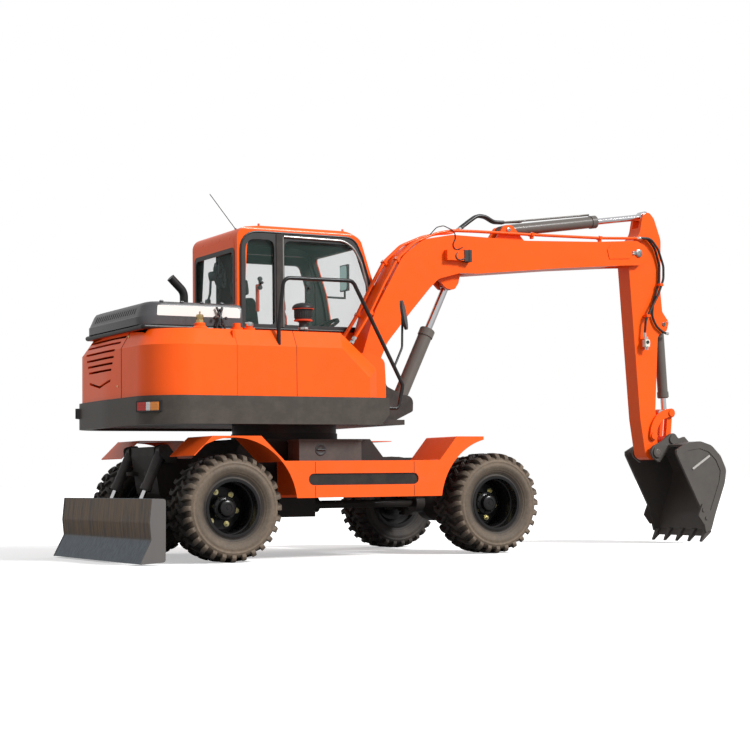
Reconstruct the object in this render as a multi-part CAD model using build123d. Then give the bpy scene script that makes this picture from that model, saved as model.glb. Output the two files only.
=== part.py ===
from build123d import *
from math import atan2, cos, degrees, hypot, radians, sin, tan
import os

os.makedirs("parts", exist_ok=True)

# Wheeled excavator with a slewing upper body, a boom, an arm, a bucket and a
# dozer blade at the rear. Millimetres. X runs forward to the bucket, Y to the
# left and Z up from the ground. The pieces are laid out from the middle of
# the wheelbase, and X_SHIFT brings the middle of the overall length to X = 0.
X_SHIFT = -974.1

# Fits and gaps.
SEAT_GAP = 0.3
RUN_GAP = 0.05
SIDE_GAP = 6.0

# Wheels and axles.
WHEELBASE = 2245.0
TRACK = 1575.0
TYRE_RADIUS = 392.0
TYRE_WIDTH = 375.0
LUG_HEIGHT = 24.0
LUG_WIDTH = 40.0
LUG_SLANT = 24.0
LUGS_PER_ROW = 26
LUG_GROOVE = 8.0
RIM_RADIUS = 200.0
RIM_WIDTH = 318.0
RIM_FLANGE = 13.0
RIM_WALL = 9.0
DISC_OFFSET = -65.0
DISC_THICKNESS = 14.0
HUB_RADIUS = 88.0
HUB_LENGTH = 150.0
HUB_NOSE = 56.0
HUB_NOSE_LENGTH = 54.0
AXLE_TUBE_RADIUS = 68.0
DIFF_RADIUS = 150.0
KINGPIN_Y = 505.0
KINGPIN_RADIUS = 26.0
KNUCKLE_HEIGHT = 150.0

AXLE_X = WHEELBASE / 2
WHEEL_Y = TRACK / 2

# Chassis.
DECK_TOP = 905.0
DECK_BOTTOM = 470.0
DECK_HALF = 400.0
SPINE_HALF = 230.0
SPINE_TOP = 760.0
SPINE_BOTTOM = 560.0
FENDER_Y = 959.0
FENDER_INNER_Y = 500.0
FENDER_TOP = 912.0
STEP_TOP = 729.5
PANEL_BOTTOM = 457.0
PANEL_THICKNESS = 8.0
ARCH_RADIUS = 508.0
SLOT_HALF_HEIGHT = 43.0

LASH_Y = 190.0
LASH_Z = 650.0
LASH_WALL = 28.0
LASH_HOLE = 20.0
LASH_REACH = 85.0

# Slewing.
SLEW_X = -255.0
RING_RADIUS = 420.0
RING_JOINT_Z = 952.0
FLOOR_Z = 1000.0
DECK_Z = 1205.0

# Upper body.
BODY_Y = 900.0
PANEL_Y = 882.0
TAIL_X = -1750.0
BODY_TOP = 1695.0
EDGE_Z = 1573.0
EDGE_IN = 70.0
TAIL_CORNER = 320.0
SKIRT_WALL = 36.0
TAIL_WALL = 90.0
RIGHT_REAR = -1055.0
LAMP_TURN = 32.0
BAY_FRONT = -715.0
BAY_WALL = 32.0
HOOD_BOTTOM = 1732.0
HOOD_TOP = 1905.0
HOOD_FRONT = -885.0
HOOD_REAR = -1690.0
HOOD_HALF = 610.0
HOOD_WALL = 18.0
HOOD_BAND = 58.0
HOOD_GRILLE_HALF = 335.0
HOOD_SLATS = 17

BODY_IN_Y = -351.0
CAP_Y = -750.0
LOUVRE_Y = 180.0
LOUVRE_GAP = 17.0

# Cab.
CAB_REAR = -650.0
CAB_FRONT = 630.0
CAB_RIGHT = 4.0
CAB_LEFT = 900.0
CAB_ROOF = 2612.0
CAB_FLOOR = 1245.0
CAB_WALL = 45.0
CAB_EDGE = 44.0
SILL_Z = 1805.0
GLASS = 6.0
GLASS_GAP = 0.5
DOOR_REAR = -330.0
DOOR_FRONT = 470.0
DOOR_BOTTOM = 1262.0
DOOR_TOP = 2500.0
DOOR_GAP = 6.0

# Boom, arm and bucket. The joints' pins, as X and Z.
BOOM_Y = -170.0
BOOM_HALF = 130.0
BOOM_FOOT = (330.0, 1470.0)
FOOT_PIN = 34.0
ARM_PIVOT = (3057.0, 2536.0)
BUCKET_PIN = (3208.0, 798.0)
ROCKER_PIN = (3207.0, 941.0)
CRANK_PIN = (3405.0, 1142.0)
LINK_PIN = (3381.0, 910.0)
BOOM_RAM_BASE = (680.0, 1200.0)
BOOM_RAM_EYE = (1165.0, 2190.0)
ARM_RAM_BASE = (1732.0, 2668.0)
ARM_RAM_EYE = (3209.0, 2883.0)
BUCKET_RAM_BASE = (3358.0, 1927.0)
ARM_HALF = 80.0
EAR = 25.0
BUCKET_RIGHT = -540.0
BUCKET_LEFT = 200.0
BUCKET_SIDE = 24.0
BUCKET_BAND = 62.0
CUTTER = 16.0
TEETH = 5

BOOM_LAMP = (1260.0, 2413.0)
COVER = 6.0
CRANK_BULGE = 62.0
PIN_CAP = 12.0
PIN_CAP_RADIUS = 31.0

# Rams.
RAM_HALF = 38.0
BOOM_TUBE = 58.0
ARM_TUBE = 50.0
BUCKET_TUBE = 45.0
BLADE_TUBE = 38.0
BOOM_RAM_PIN = 26.0
ARM_RAM_PIN = 22.0
BUCKET_RAM_PIN = 20.0
BLADE_RAM_PIN = 16.0
BLADE_EYE_HALF = 44.0

# Dozer blade.
BLADE_HALF = 945.0
BLADE_END = 12.0
BLADE_X = -AXLE_X - 637.5
BLADE_PIVOT = (-AXLE_X - 177.5, 430.0)
BLADE_RAM_BASE = (-AXLE_X - 297.5, 820.0)
BLADE_RAM_EYE = (-AXLE_X - 497.5, 360.0)
BLADE_ARM_Y = 310.0
BLADE_EDGE_Z = 12.0


def box(x_low, x_high, y_low, y_high, z_low, z_high):
    """A plain block between its limits."""
    size = (x_high - x_low, y_high - y_low, z_high - z_low)
    middle = ((x_low + x_high) / 2, (y_low + y_high) / 2, (z_low + z_high) / 2)
    return Pos(*middle) * Box(*size)


def outline(rows):
    """A closed face from rows of two coordinates and a corner radius."""
    line = FilletPolyline(
        *[(a, b) for a, b, r in rows], radius=[r for a, b, r in rows], close=True
    )
    return make_face(line)


def plate_xz(rows, y_low, y_high):
    """A plate seen from the side: rows of X, Z and corner radius."""
    solid = extrude(outline(rows), amount=y_high - y_low, dir=(0, 0, 1))
    return Pos(0, y_high, 0) * Plane.XZ.location * solid


def plate_xy(rows, z_low, z_high):
    """A plate seen from above: rows of X, Y and corner radius."""
    return Pos(0, 0, z_low) * extrude(outline(rows), amount=z_high - z_low, dir=(0, 0, 1))


def plate_yz(rows, x_low, x_high):
    """A plate seen from the end: rows of Y, Z and corner radius."""
    solid = extrude(outline(rows), amount=x_high - x_low, dir=(0, 0, 1))
    return Pos(x_low, 0, 0) * Plane.YZ.location * solid


def bar(start, end, radius):
    """A round bar between two points."""
    a, b = Vector(*start), Vector(*end)
    solid = Cylinder(radius, (b - a).length, align=(Align.CENTER, Align.CENTER, Align.MIN))
    return Plane(origin=a, z_dir=b - a).location * solid


def pin(centre, y_low, y_high, radius):
    """A round pin along Y at an X, Z place."""
    return bar((centre[0], y_low, centre[1]), (centre[0], y_high, centre[1]), radius)


def tube(points, bend, radius):
    """A round bar bent through the points."""
    line = FilletPolyline(*points, radius=bend)
    section = Plane(origin=line @ 0, z_dir=line % 0) * Circle(radius)
    return sweep(section, path=line)


def save(node, *shapes):
    """Write one sub-part in the part's own frame."""
    solids = [s for shape in shapes for s in shape.solids()]
    whole = solids[0] if len(solids) == 1 else Compound(solids)
    export_step(Pos(X_SHIFT, 0, 0) * whole, f"parts/{node}.step")


def mirrored(shape):
    """The same piece on the other side of the machine."""
    return mirror(shape, about=Plane.XZ)


# Tyre: flat facets all round, with two staggered rows of slanted lugs. Each
# row's facets run from its inner ring to its shoulder ring: lug, gap, lug, gap.
def around(radius, y, turn):
    """A point round the wheel's axis."""
    return (radius * sin(turn), y, radius * cos(turn))


def facet(*corners):
    """A flat face between its corners."""
    return Face(Wire.make_polygon(corners))


def make_tyre():
    half = TYRE_WIDTH / 2
    crown = TYRE_RADIUS - LUG_HEIGHT
    shoulder = (half - 11, crown - 20)
    bead = (RIM_WIDTH / 2 - RIM_WALL - SEAT_GAP, RIM_RADIUS + 26)
    pitch = radians(360 / LUGS_PER_ROW)
    seat = (RIM_RADIUS + SEAT_GAP) / cos(pitch / 4)
    slant = (half - 20) * tan(radians(LUG_SLANT)) / TYRE_RADIUS
    faces = []
    for side in (1, -1):
        for k in range(LUGS_PER_ROW):
            turn = pitch * (k + 0.25 * side)
            low, high = [], []
            for y, base, top, spread, width in (
                (LUG_GROOVE, crown, TYRE_RADIUS, 0, LUG_WIDTH - 6),
                (shoulder[0], shoulder[1], TYRE_RADIUS - 5, slant, LUG_WIDTH),
            ):
                middle = turn + spread
                for sign in (-1, 1):
                    low.append(around(base, side * y, middle + sign * pitch / 4))
                    high.append(around(top, side * min(y, half - 14), middle + sign * width / 2 / TYRE_RADIUS))
            next_in = around(crown, side * LUG_GROOVE, turn + 0.75 * pitch)
            next_out = around(shoulder[1], side * shoulder[0], turn + slant + 0.75 * pitch)
            for a, b, c, d in (
                (high[0], high[1], high[3], high[2]), (low[0], high[0], high[2], low[2]),
                (high[1], low[1], low[3], high[3]), (low[1], next_in, next_out, low[3]),
            ):
                faces += [facet(a, b, c), facet(a, c, d)]
            faces += [facet(low[0], low[1], high[1], high[0]), facet(low[2], high[2], high[3], low[3])]
        for step in range(2 * LUGS_PER_ROW):
            start = pitch * (0.5 * step)
            ends = (start + slant, start + slant + pitch / 2)
            rings = [shoulder, (half, crown - 70), bead, (bead[0], seat)]
            for (y_0, r_0), (y_1, r_1) in zip(rings, rings[1:]):
                faces.append(facet(
                    around(r_0, side * y_0, ends[0]), around(r_1, side * y_1, ends[0]),
                    around(r_1, side * y_1, ends[1]), around(r_0, side * y_0, ends[1])))
            if side == 1:
                for y, r, shift in ((LUG_GROOVE, crown, 0), (bead[0], seat, slant)):
                    faces.append(facet(
                        around(r, y, start + shift), around(r, y, start + shift + pitch / 2),
                        around(r, -y, start + shift + pitch / 2), around(r, -y, start + shift)))
    return Solid(Shell(faces))


# Rim: a deep dished wheel. Its outer side faces +Y.
def make_rim():
    half = RIM_WIDTH / 2
    flange = RIM_RADIUS + RIM_FLANGE
    inner = RIM_RADIUS - RIM_WALL
    bore = HUB_RADIUS + SEAT_GAP
    section = Polyline(
        (bore, DISC_OFFSET - DISC_THICKNESS), (150, DISC_OFFSET - DISC_THICKNESS),
        (inner, DISC_OFFSET - 40), (inner, -half), (flange, -half), (flange, -half + RIM_WALL),
        (RIM_RADIUS, -half + RIM_WALL), (RIM_RADIUS, half - RIM_WALL),
        (flange, half - RIM_WALL), (flange, half), (inner, half),
        (inner, DISC_OFFSET - 26), (154, DISC_OFFSET), (bore, DISC_OFFSET), close=True,
    )
    return revolve(make_face(section), Axis.Y)


tyre = make_tyre()
rim = make_rim()

for end, x in (("front", AXLE_X), ("rear", -AXLE_X)):
    for side, sign in (("left", 1), ("right", -1)):
        place = Pos(x, sign * WHEEL_Y, TYRE_RADIUS)
        turned = tyre if sign == 1 else Rot(0, 0, 180) * tyre
        wheel = rim if sign == 1 else Rot(0, 0, 180) * rim
        save(f"tyre_{end}_{side}", place * turned)
        save(f"rim_{end}_{side}", place * wheel)

# Hub that fills the rim's bore and stands out of its disc.
HUB_INNER_Y = WHEEL_Y + DISC_OFFSET - DISC_THICKNESS - 12
HUB_OUTER_Y = HUB_INNER_Y + HUB_LENGTH


def hub(x, y_inner):
    """A final drive hub on the left side, from y_inner out through the rim's disc."""
    drum = bar((x, y_inner, TYRE_RADIUS), (x, HUB_INNER_Y, TYRE_RADIUS), HUB_RADIUS + 28)
    collar_end = HUB_OUTER_Y - HUB_NOSE_LENGTH
    collar = bar((x, HUB_INNER_Y, TYRE_RADIUS), (x, collar_end, TYRE_RADIUS), HUB_RADIUS)
    nose = bar((x, collar_end, TYRE_RADIUS), (x, HUB_OUTER_Y, TYRE_RADIUS), HUB_NOSE)
    return drum + collar + nose


# Axle housings: a round case at the middle, tapering tubes and, at the front,
# forks that hold the steering knuckles.
def axle_tube(x, y_end):
    arm = revolve(
        make_face(Polyline(
            (0, 0), (DIFF_RADIUS, 0), (DIFF_RADIUS, 60), (AXLE_TUBE_RADIUS + 22, 150),
            (AXLE_TUBE_RADIUS, 260), (AXLE_TUBE_RADIUS, y_end), (0, y_end), close=True)),
        Axis.Y,
    )
    return Pos(x, 0, TYRE_RADIUS) * arm


fork_y = KINGPIN_Y - 70
fork_low = TYRE_RADIUS - KNUCKLE_HEIGHT / 2 - SIDE_GAP
fork_high = TYRE_RADIUS + KNUCKLE_HEIGHT / 2 + SIDE_GAP
front_half = axle_tube(AXLE_X, fork_y)
front_half += box(AXLE_X - 55, AXLE_X + 55, fork_y - 34, fork_y, fork_low - 26, fork_high + 26)
for z_low in (fork_low - 26, fork_high):
    ear = plate_xy(
        [(AXLE_X - 50, fork_y - 34, 0), (AXLE_X + 50, fork_y - 34, 0),
         (AXLE_X + 42, KINGPIN_Y + 40, 38), (AXLE_X - 42, KINGPIN_Y + 40, 38)],
        z_low, z_low + 26,
    )
    front_half += ear
front_bore = bar((AXLE_X, KINGPIN_Y, 0), (AXLE_X, KINGPIN_Y, 900), KINGPIN_RADIUS + RUN_GAP)
front_half -= front_bore
rear_half = axle_tube(-AXLE_X, HUB_INNER_Y - 46 - SEAT_GAP)
nose_length = 215.0
front_nose = bar((AXLE_X - nose_length, 0, TYRE_RADIUS), (AXLE_X, 0, TYRE_RADIUS), 80)
rear_nose = bar((-AXLE_X, 0, TYRE_RADIUS), (-AXLE_X + nose_length, 0, TYRE_RADIUS), 80)
save(
    "axle_housings",
    front_half + mirrored(front_half) + front_nose,
    rear_half + mirrored(rear_half) + rear_nose,
)

# Hubs of the rear wheels and the knuckles of the front wheels.
rear_hub = hub(-AXLE_X, HUB_INNER_Y - 46)
save("hub_rear_left", rear_hub)
save("hub_rear_right", mirrored(rear_hub))

front_hub = hub(AXLE_X, HUB_INNER_Y - 60)
save("hub_front_left", front_hub)
save("hub_front_right", mirrored(front_hub))

kingpin_low = fork_low - 26
kingpin_high = fork_high + 26
knuckle = box(AXLE_X - 38, AXLE_X + 38, KINGPIN_Y - 36, KINGPIN_Y + 44,
              TYRE_RADIUS - KNUCKLE_HEIGHT / 2, TYRE_RADIUS + KNUCKLE_HEIGHT / 2)
knuckle += bar((AXLE_X, KINGPIN_Y, kingpin_low), (AXLE_X, KINGPIN_Y, kingpin_high), KINGPIN_RADIUS)
knuckle += bar((AXLE_X, KINGPIN_Y + 44, TYRE_RADIUS),
               (AXLE_X, HUB_INNER_Y - 60 - SEAT_GAP, TYRE_RADIUS), 62)
knuckle += plate_xy(
    [(AXLE_X - 38, KINGPIN_Y - 10, 0), (AXLE_X - 38, KINGPIN_Y + 44, 0),
     (AXLE_X - 190, KINGPIN_Y + 12, 18), (AXLE_X - 190, KINGPIN_Y - 30, 18)],
    TYRE_RADIUS - 60, TYRE_RADIUS - 36,
)
save("knuckle_left", knuckle)
save("knuckle_right", mirrored(knuckle))

# Chassis: a box under the slewing ring with a narrow spine over each axle.
front = AXLE_X
rear = -AXLE_X
frame = plate_xz(
    [(rear + 377.5, DECK_BOTTOM, 0), (front - 887.5, DECK_BOTTOM, 0), (front - 522.5, SPINE_TOP - 170, 0),
     (front - 522.5, SPINE_TOP, 0), (front - 702.5, SPINE_TOP, 0), (front - 822.5, DECK_TOP, 0),
     (rear + 322.5, DECK_TOP, 0), (rear + 242.5, SPINE_TOP, 0), (rear + 242.5, SPINE_BOTTOM, 0)],
    -DECK_HALF, DECK_HALF,
)
nose_x = front + 227.5
tail_x = rear - 327.5
pivot_x, pivot_z = BLADE_PIVOT
spine_rows = [
    (tail_x + 45, 500, 0), (pivot_x - 30, pivot_z - 50, 30), (pivot_x + 30, pivot_z - 50, 30),
    (pivot_x + 60, SPINE_BOTTOM, 0), (500, SPINE_BOTTOM, 0), (nose_x - 60, SPINE_BOTTOM - 15, 0),
    (nose_x, SPINE_BOTTOM + 30, 0), (nose_x, SPINE_TOP - 30, 0), (nose_x - 30, SPINE_TOP, 0),
    (pivot_x - 20, SPINE_TOP, 0), (pivot_x - 40, SPINE_TOP + 90, 0), (tail_x, SPINE_TOP + 90, 0),
    (tail_x, SPINE_TOP + 20, 0),
]
spine = plate_xz(spine_rows, -SPINE_HALF, SPINE_HALF)
case_top = TYRE_RADIUS + DIFF_RADIUS
for y in (-0.5 * SPINE_HALF, 0.5 * SPINE_HALF):
    for x in (rear, front):
        spine += box(x - 70, x + 70, y - 70, y + 70, case_top - 8, max(case_top, SPINE_BOTTOM) + 10)
frame = frame + spine
for x in (rear, front):
    frame -= bar((x, -SPINE_HALF - 10, TYRE_RADIUS), (x, SPINE_HALF + 10, TYRE_RADIUS), DIFF_RADIUS + SEAT_GAP)
for y in (-BLADE_ARM_Y, BLADE_ARM_Y):
    sign = 1 if y > 0 else -1
    frame += pin(BLADE_PIVOT, min(0, y + sign * 80), max(0, y + sign * 80), 28)
base_x, base_z = BLADE_RAM_BASE
frame += box(base_x + 42, base_x + 100, -BLADE_ARM_Y - 60, BLADE_ARM_Y + 60, SPINE_TOP - 30, SPINE_TOP + 26)
ram_base_ear = [
    (base_x + 95, SPINE_TOP - 25, 0), (base_x + 95, SPINE_TOP + 20, 0), (base_x + 25, base_z + 48, 20),
    (base_x - 42, base_z + 30, 30), (base_x - 42, base_z - 25, 30), (base_x + 20, SPINE_TOP - 25, 0),
]
for sign in (1, -1):
    for inner in (BLADE_TUBE + SIDE_GAP, -BLADE_TUBE - SIDE_GAP - 16):
        y = sorted((sign * (BLADE_ARM_Y + inner), sign * (BLADE_ARM_Y + inner + 16)))
        frame += plate_xz(ram_base_ear, y[0], y[1])
    frame += pin(BLADE_RAM_BASE, sign * BLADE_ARM_Y - 64, sign * BLADE_ARM_Y + 64, BLADE_RAM_PIN)

# Lashing eyes: level plates with an upright hole, two at each end of the spine.
LASH_FRONT_X = nose_x + 40
LASH_REAR_X = tail_x - 10
for x_hole, toward in ((LASH_FRONT_X, 1), (LASH_REAR_X, -1)):
    for y in (-LASH_Y, LASH_Y):
        x_end = x_hole + toward * 42
        x_root = x_end - toward * LASH_REACH * 1.4
        eye = plate_xy(
            [(x_root, y - 40, 0), (x_end, y - 40, 36), (x_end, y + 40, 36), (x_root, y + 40, 0)],
            LASH_Z - LASH_WALL / 2, LASH_Z + LASH_WALL / 2)
        frame += eye
        frame -= bar((x_hole, y, LASH_Z - 60), (x_hole, y, LASH_Z + 60), LASH_HOLE)
save("chassis_frame", frame)

# Lower and upper rings of the slewing bearing.
lower_ring = Pos(SLEW_X, 0, DECK_TOP) * Cylinder(
    RING_RADIUS, RING_JOINT_Z - DECK_TOP, align=(Align.CENTER, Align.CENTER, Align.MIN))
save("slew_ring_lower", lower_ring)

# Fenders and side panels, one pressed assembly a side.
panel_rear = rear + 562.5
panel_front = front - 562.5
fender_front = front - 119.5
side_face = [
    (rear + 406.5, STEP_TOP, 0), (rear + 218.5, FENDER_TOP, 0), (rear - 163.5, FENDER_TOP, 0),
    (rear - 307.5, FENDER_TOP - 137, 0), (rear - 377.5, 300, 0), (panel_rear - 60, 300, 0),
    (panel_rear - 58, PANEL_BOTTOM, 0), (panel_rear, PANEL_BOTTOM, 0), (panel_front, PANEL_BOTTOM, 0),
    (panel_front + 58, PANEL_BOTTOM, 0), (panel_front + 60, 300, 0), (fender_front, 300, 0),
    (fender_front, FENDER_TOP, 0), (front - 364.5, FENDER_TOP, 0), (front - 520.5, STEP_TOP, 0),
]
panel = plate_xz(side_face, FENDER_Y - PANEL_THICKNESS, FENDER_Y)
panel -= box(2 * rear, 2 * front, FENDER_Y - 20, FENDER_Y + 20, 200, PANEL_BOTTOM)
for x in (rear, front):
    panel -= pin((x, TYRE_RADIUS), FENDER_Y - 20, FENDER_Y + 20, ARCH_RADIUS)
slot_z = (STEP_TOP + PANEL_BOTTOM) / 2 - 1
slot = plate_xz(
    [(panel_rear + 38, slot_z - SLOT_HALF_HEIGHT, 42), (panel_front - 148, slot_z - SLOT_HALF_HEIGHT, 42),
     (panel_front - 148, slot_z + SLOT_HALF_HEIGHT, 42), (panel_rear + 38, slot_z + SLOT_HALF_HEIGHT, 42)],
    FENDER_Y - 20, FENDER_Y + 20,
)
panel -= slot
top_rows = [
    (rear - 307.5, FENDER_TOP - 137, 0), (rear - 163.5, FENDER_TOP, 20), (rear + 218.5, FENDER_TOP, 20),
    (rear + 406.5, STEP_TOP, 20), (front - 520.5, STEP_TOP, 20), (front - 364.5, FENDER_TOP, 20),
    (fender_front, FENDER_TOP, 0), (fender_front, FENDER_TOP - 6, 0), (front - 361.5, FENDER_TOP - 6, 20),
    (front - 517.5, STEP_TOP - 6, 20), (rear + 403.5, STEP_TOP - 6, 20), (rear + 215.5, FENDER_TOP - 6, 20),
    (rear - 160.5, FENDER_TOP - 6, 20), (rear - 304.5, FENDER_TOP - 143, 0),
]
fender = plate_xz(top_rows, FENDER_INNER_Y, FENDER_Y - 4)
fender += panel
step_inner = box(panel_rear, panel_front, FENDER_INNER_Y, FENDER_INNER_Y + 6, PANEL_BOTTOM, STEP_TOP - 3)
fender += step_inner
for x_low in (panel_rear, panel_front - 6):
    fender += box(x_low, x_low + 6, FENDER_INNER_Y, FENDER_Y - 4, PANEL_BOTTOM + 20, STEP_TOP - 3)
for x in (panel_rear + 130, panel_front - 180):
    fender += box(x - 30, x + 30, DECK_HALF, FENDER_INNER_Y + 3, STEP_TOP - 80, STEP_TOP - 3)
save("side_fender_left", fender)
save("side_fender_right", mirrored(fender))

# Tool box on the right-hand step, with a lid that overhangs its walls.
tool_rear = panel_rear + 90
tool_y = -FENDER_INNER_Y - 10
tool_box = box(tool_rear, tool_rear + 530, tool_y - 190, tool_y, STEP_TOP, STEP_TOP + 150)
tool_box += box(tool_rear - 6, tool_rear + 536, tool_y - 196, tool_y + 4, STEP_TOP + 150, STEP_TOP + 165)
save("tool_box", tool_box)

# Transfer gearbox and the propeller shafts to the two axles.
gearbox = box(-380, -60, -150, 150, 300, 465)
gearbox += bar((-60, 0, TYRE_RADIUS), (30, 0, TYRE_RADIUS), 60)
gearbox += bar((-420, 0, TYRE_RADIUS), (-380, 0, TYRE_RADIUS), 60)
gearbox += box(-300, -150, -100, 100, 460, DECK_BOTTOM)
front_shaft = bar((30, 0, TYRE_RADIUS), (AXLE_X - nose_length, 0, TYRE_RADIUS), 32)
rear_shaft = bar((-AXLE_X + nose_length, 0, TYRE_RADIUS), (-420, 0, TYRE_RADIUS), 32)
save("transmission", gearbox + front_shaft + rear_shaft)


# Hydraulic rams: a bored barrel with its base eye, and a rod with its eye.
def ram(base, eye, y_mid, tube_radius, rod_radius, tube_end, eye_radius, eye_half, rod_tail, pin_radius):
    """Barrel and rod lying in the X-Z plane at y_mid, from base pin to rod eye."""
    length = hypot(eye[0] - base[0], eye[1] - base[1])
    turn = degrees(atan2(eye[1] - base[1], eye[0] - base[0]))
    bore_start = max(eye_radius, pin_radius + 12) + 4
    upright = (Align.CENTER, Align.CENTER, Align.MIN)
    barrel = Pos(0, 0, eye_radius * 0.6) * Cylinder(tube_radius, tube_end - eye_radius * 0.6, align=upright)
    barrel += Rot(90, 0, 0) * Cylinder(eye_radius, 2 * (tube_radius + 2))
    barrel -= Rot(90, 0, 0) * Cylinder(pin_radius + RUN_GAP, 3 * tube_radius)
    barrel += Pos(0, 0, tube_end - 2.2 * rod_radius) * Cylinder(tube_radius + 6, 2 * rod_radius, align=upright)
    barrel -= Pos(0, 0, bore_start) * Cylinder(rod_radius + RUN_GAP, tube_end, align=upright)
    rod = Pos(0, 0, rod_tail) * Cylinder(rod_radius, length - rod_tail, align=upright)
    rod += Pos(0, 0, length) * Rot(90, 0, 0) * Cylinder(eye_radius, 2 * eye_half)
    lay = Pos(base[0], y_mid, base[1]) * Rot(0, 90 - turn, 0)
    return lay * barrel, lay * rod


boom_barrel, boom_rod = ram(
    BOOM_RAM_BASE, BOOM_RAM_EYE, BOOM_Y, BOOM_TUBE, 30, 680, 52, RAM_HALF, 352, BOOM_RAM_PIN)
save("boom_ram_barrel", boom_barrel)
save("boom_ram_rod", boom_rod)
arm_barrel, arm_rod = ram(
    ARM_RAM_BASE, ARM_RAM_EYE, BOOM_Y, ARM_TUBE, 27, 971, 46, RAM_HALF, 470, ARM_RAM_PIN)
save("arm_ram_barrel", arm_barrel)
save("arm_ram_rod", arm_rod)
bucket_barrel, bucket_rod = ram(
    BUCKET_RAM_BASE, CRANK_PIN, BOOM_Y, BUCKET_TUBE, 25, 650, 40, 30, 150, BUCKET_RAM_PIN)
save("bucket_ram_barrel", bucket_barrel)
save("bucket_ram_rod", bucket_rod)
for side, sign in (("left", 1), ("right", -1)):
    blade_barrel, blade_rod = ram(
        BLADE_RAM_BASE, BLADE_RAM_EYE, sign * BLADE_ARM_Y, BLADE_TUBE, 20, 325, 34,
        BLADE_EYE_HALF, 185, BLADE_RAM_PIN)
    save(f"blade_ram_barrel_{side}", blade_barrel)
    save(f"blade_ram_rod_{side}", blade_rod)

# Boom: a box section bent like a goose neck, with ears below for its own ram,
# ears above for the arm's ram and a fork at the tip for the arm.
boom_rows = [
    (250, 1440, 60), (340, 1385, 50), (430, 1480, 40), (523, 1680, 200), (757, 1949, 300),
    (926, 2135, 200), (1011, 2217, 120), (1223, 2275, 120), (1395, 2278, 200), (2219, 2364, 200),
    (2863, 2419, 120), (3075, 2432, 60), (3155, 2500, 60), (3145, 2600, 60), (3040, 2645, 60),
    (2601, 2612, 200), (1888, 2580, 200), (1148, 2587, 250), (874, 2535, 250), (679, 2389, 200),
    (417, 1937, 400),
]
boom = plate_xz(boom_rows, BOOM_Y - BOOM_HALF, BOOM_Y + BOOM_HALF)
boom += pin(BOOM_FOOT, BOOM_Y - BOOM_HALF - 2, BOOM_Y + BOOM_HALF + 2, 85)
fork = plate_xz(
    [(2760, 2300, 0), (3300, 2300, 0), (3300, 2800, 0), (2760, 2800, 0)],
    BOOM_Y - ARM_HALF - SIDE_GAP, BOOM_Y + ARM_HALF + SIDE_GAP,
)
boom -= fork
ear_inner = RAM_HALF + SIDE_GAP
ram_ear = [
    (1040, 2225, 0), (1120, 2150, 30), (1200, 2140, 40), (1240, 2200, 20), (1260, 2290, 0), (1060, 2290, 0),
]
base_ear = [
    (1600, 2575, 0), (1690, 2705, 40), (1772, 2710, 40), (1900, 2575, 0),
]
base_inner = ARM_TUBE + SIDE_GAP
for sign in (1, -1):
    low, high = sorted((sign * ear_inner, sign * (ear_inner + EAR)))
    boom += plate_xz(ram_ear, BOOM_Y + low, BOOM_Y + high)
    low, high = sorted((sign * base_inner, sign * (base_inner + EAR)))
    boom += plate_xz(base_ear, BOOM_Y + low, BOOM_Y + high)
pocket = plate_xz(
    [(960, 2100, 0), (1330, 2100, 0), (1330, 2330, 0), (1230, 2400, 0), (1010, 2400, 0), (960, 2300, 0)],
    BOOM_Y - ear_inner, BOOM_Y + ear_inner,
)
boom -= pocket
boom += pin(ARM_PIVOT, BOOM_Y - BOOM_HALF - 8, BOOM_Y + BOOM_HALF + 8, 36)
boom += pin(ARM_RAM_BASE, BOOM_Y - base_inner - EAR - 6, BOOM_Y + base_inner + EAR + 6, ARM_RAM_PIN)
boom -= pin(BOOM_FOOT, BOOM_Y - 2 * BOOM_HALF, BOOM_Y + 2 * BOOM_HALF, FOOT_PIN + RUN_GAP)
lamp_x, lamp_z = BOOM_LAMP
boom_right = BOOM_Y - BOOM_HALF
boom += box(lamp_x - 190, lamp_x - 28, boom_right - 48, boom_right + 2, lamp_z - 42, lamp_z + 42)
end_cover = [
    (ARM_PIVOT[0] - 339, 2552, 0), (ARM_PIVOT[0] - 318, 2470, 0), (ARM_PIVOT[0] - 100, 2484, 0),
    (ARM_PIVOT[0] - 69, 2520, 0), (ARM_PIVOT[0] - 75, 2596, 0), (ARM_PIVOT[0] - 300, 2592, 0),
]
for y in (boom_right - COVER, BOOM_Y + BOOM_HALF - 1):
    boom += plate_xz(end_cover, y, y + COVER + 1)
save("boom", boom)

# Work lamp on the boom's right side.
lamp = box(lamp_x - 28, lamp_x + 14, boom_right - 54, boom_right - 4, lamp_z - 47, lamp_z + 47)
lamp += box(lamp_x + 14, lamp_x + 40, boom_right - 58, boom_right, lamp_z - 50, lamp_z + 50)
save("boom_lamp", lamp)

# The rocker's plates and the bucket's ears lie one outside the other beside the arm.
ROCKER_IN = ARM_HALF + SIDE_GAP
ROCKER_OUT = ROCKER_IN + 16
EAR_IN = ROCKER_OUT + PIN_CAP + SIDE_GAP
EAR_OUT = EAR_IN + 24
BOSS = 14.0

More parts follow.
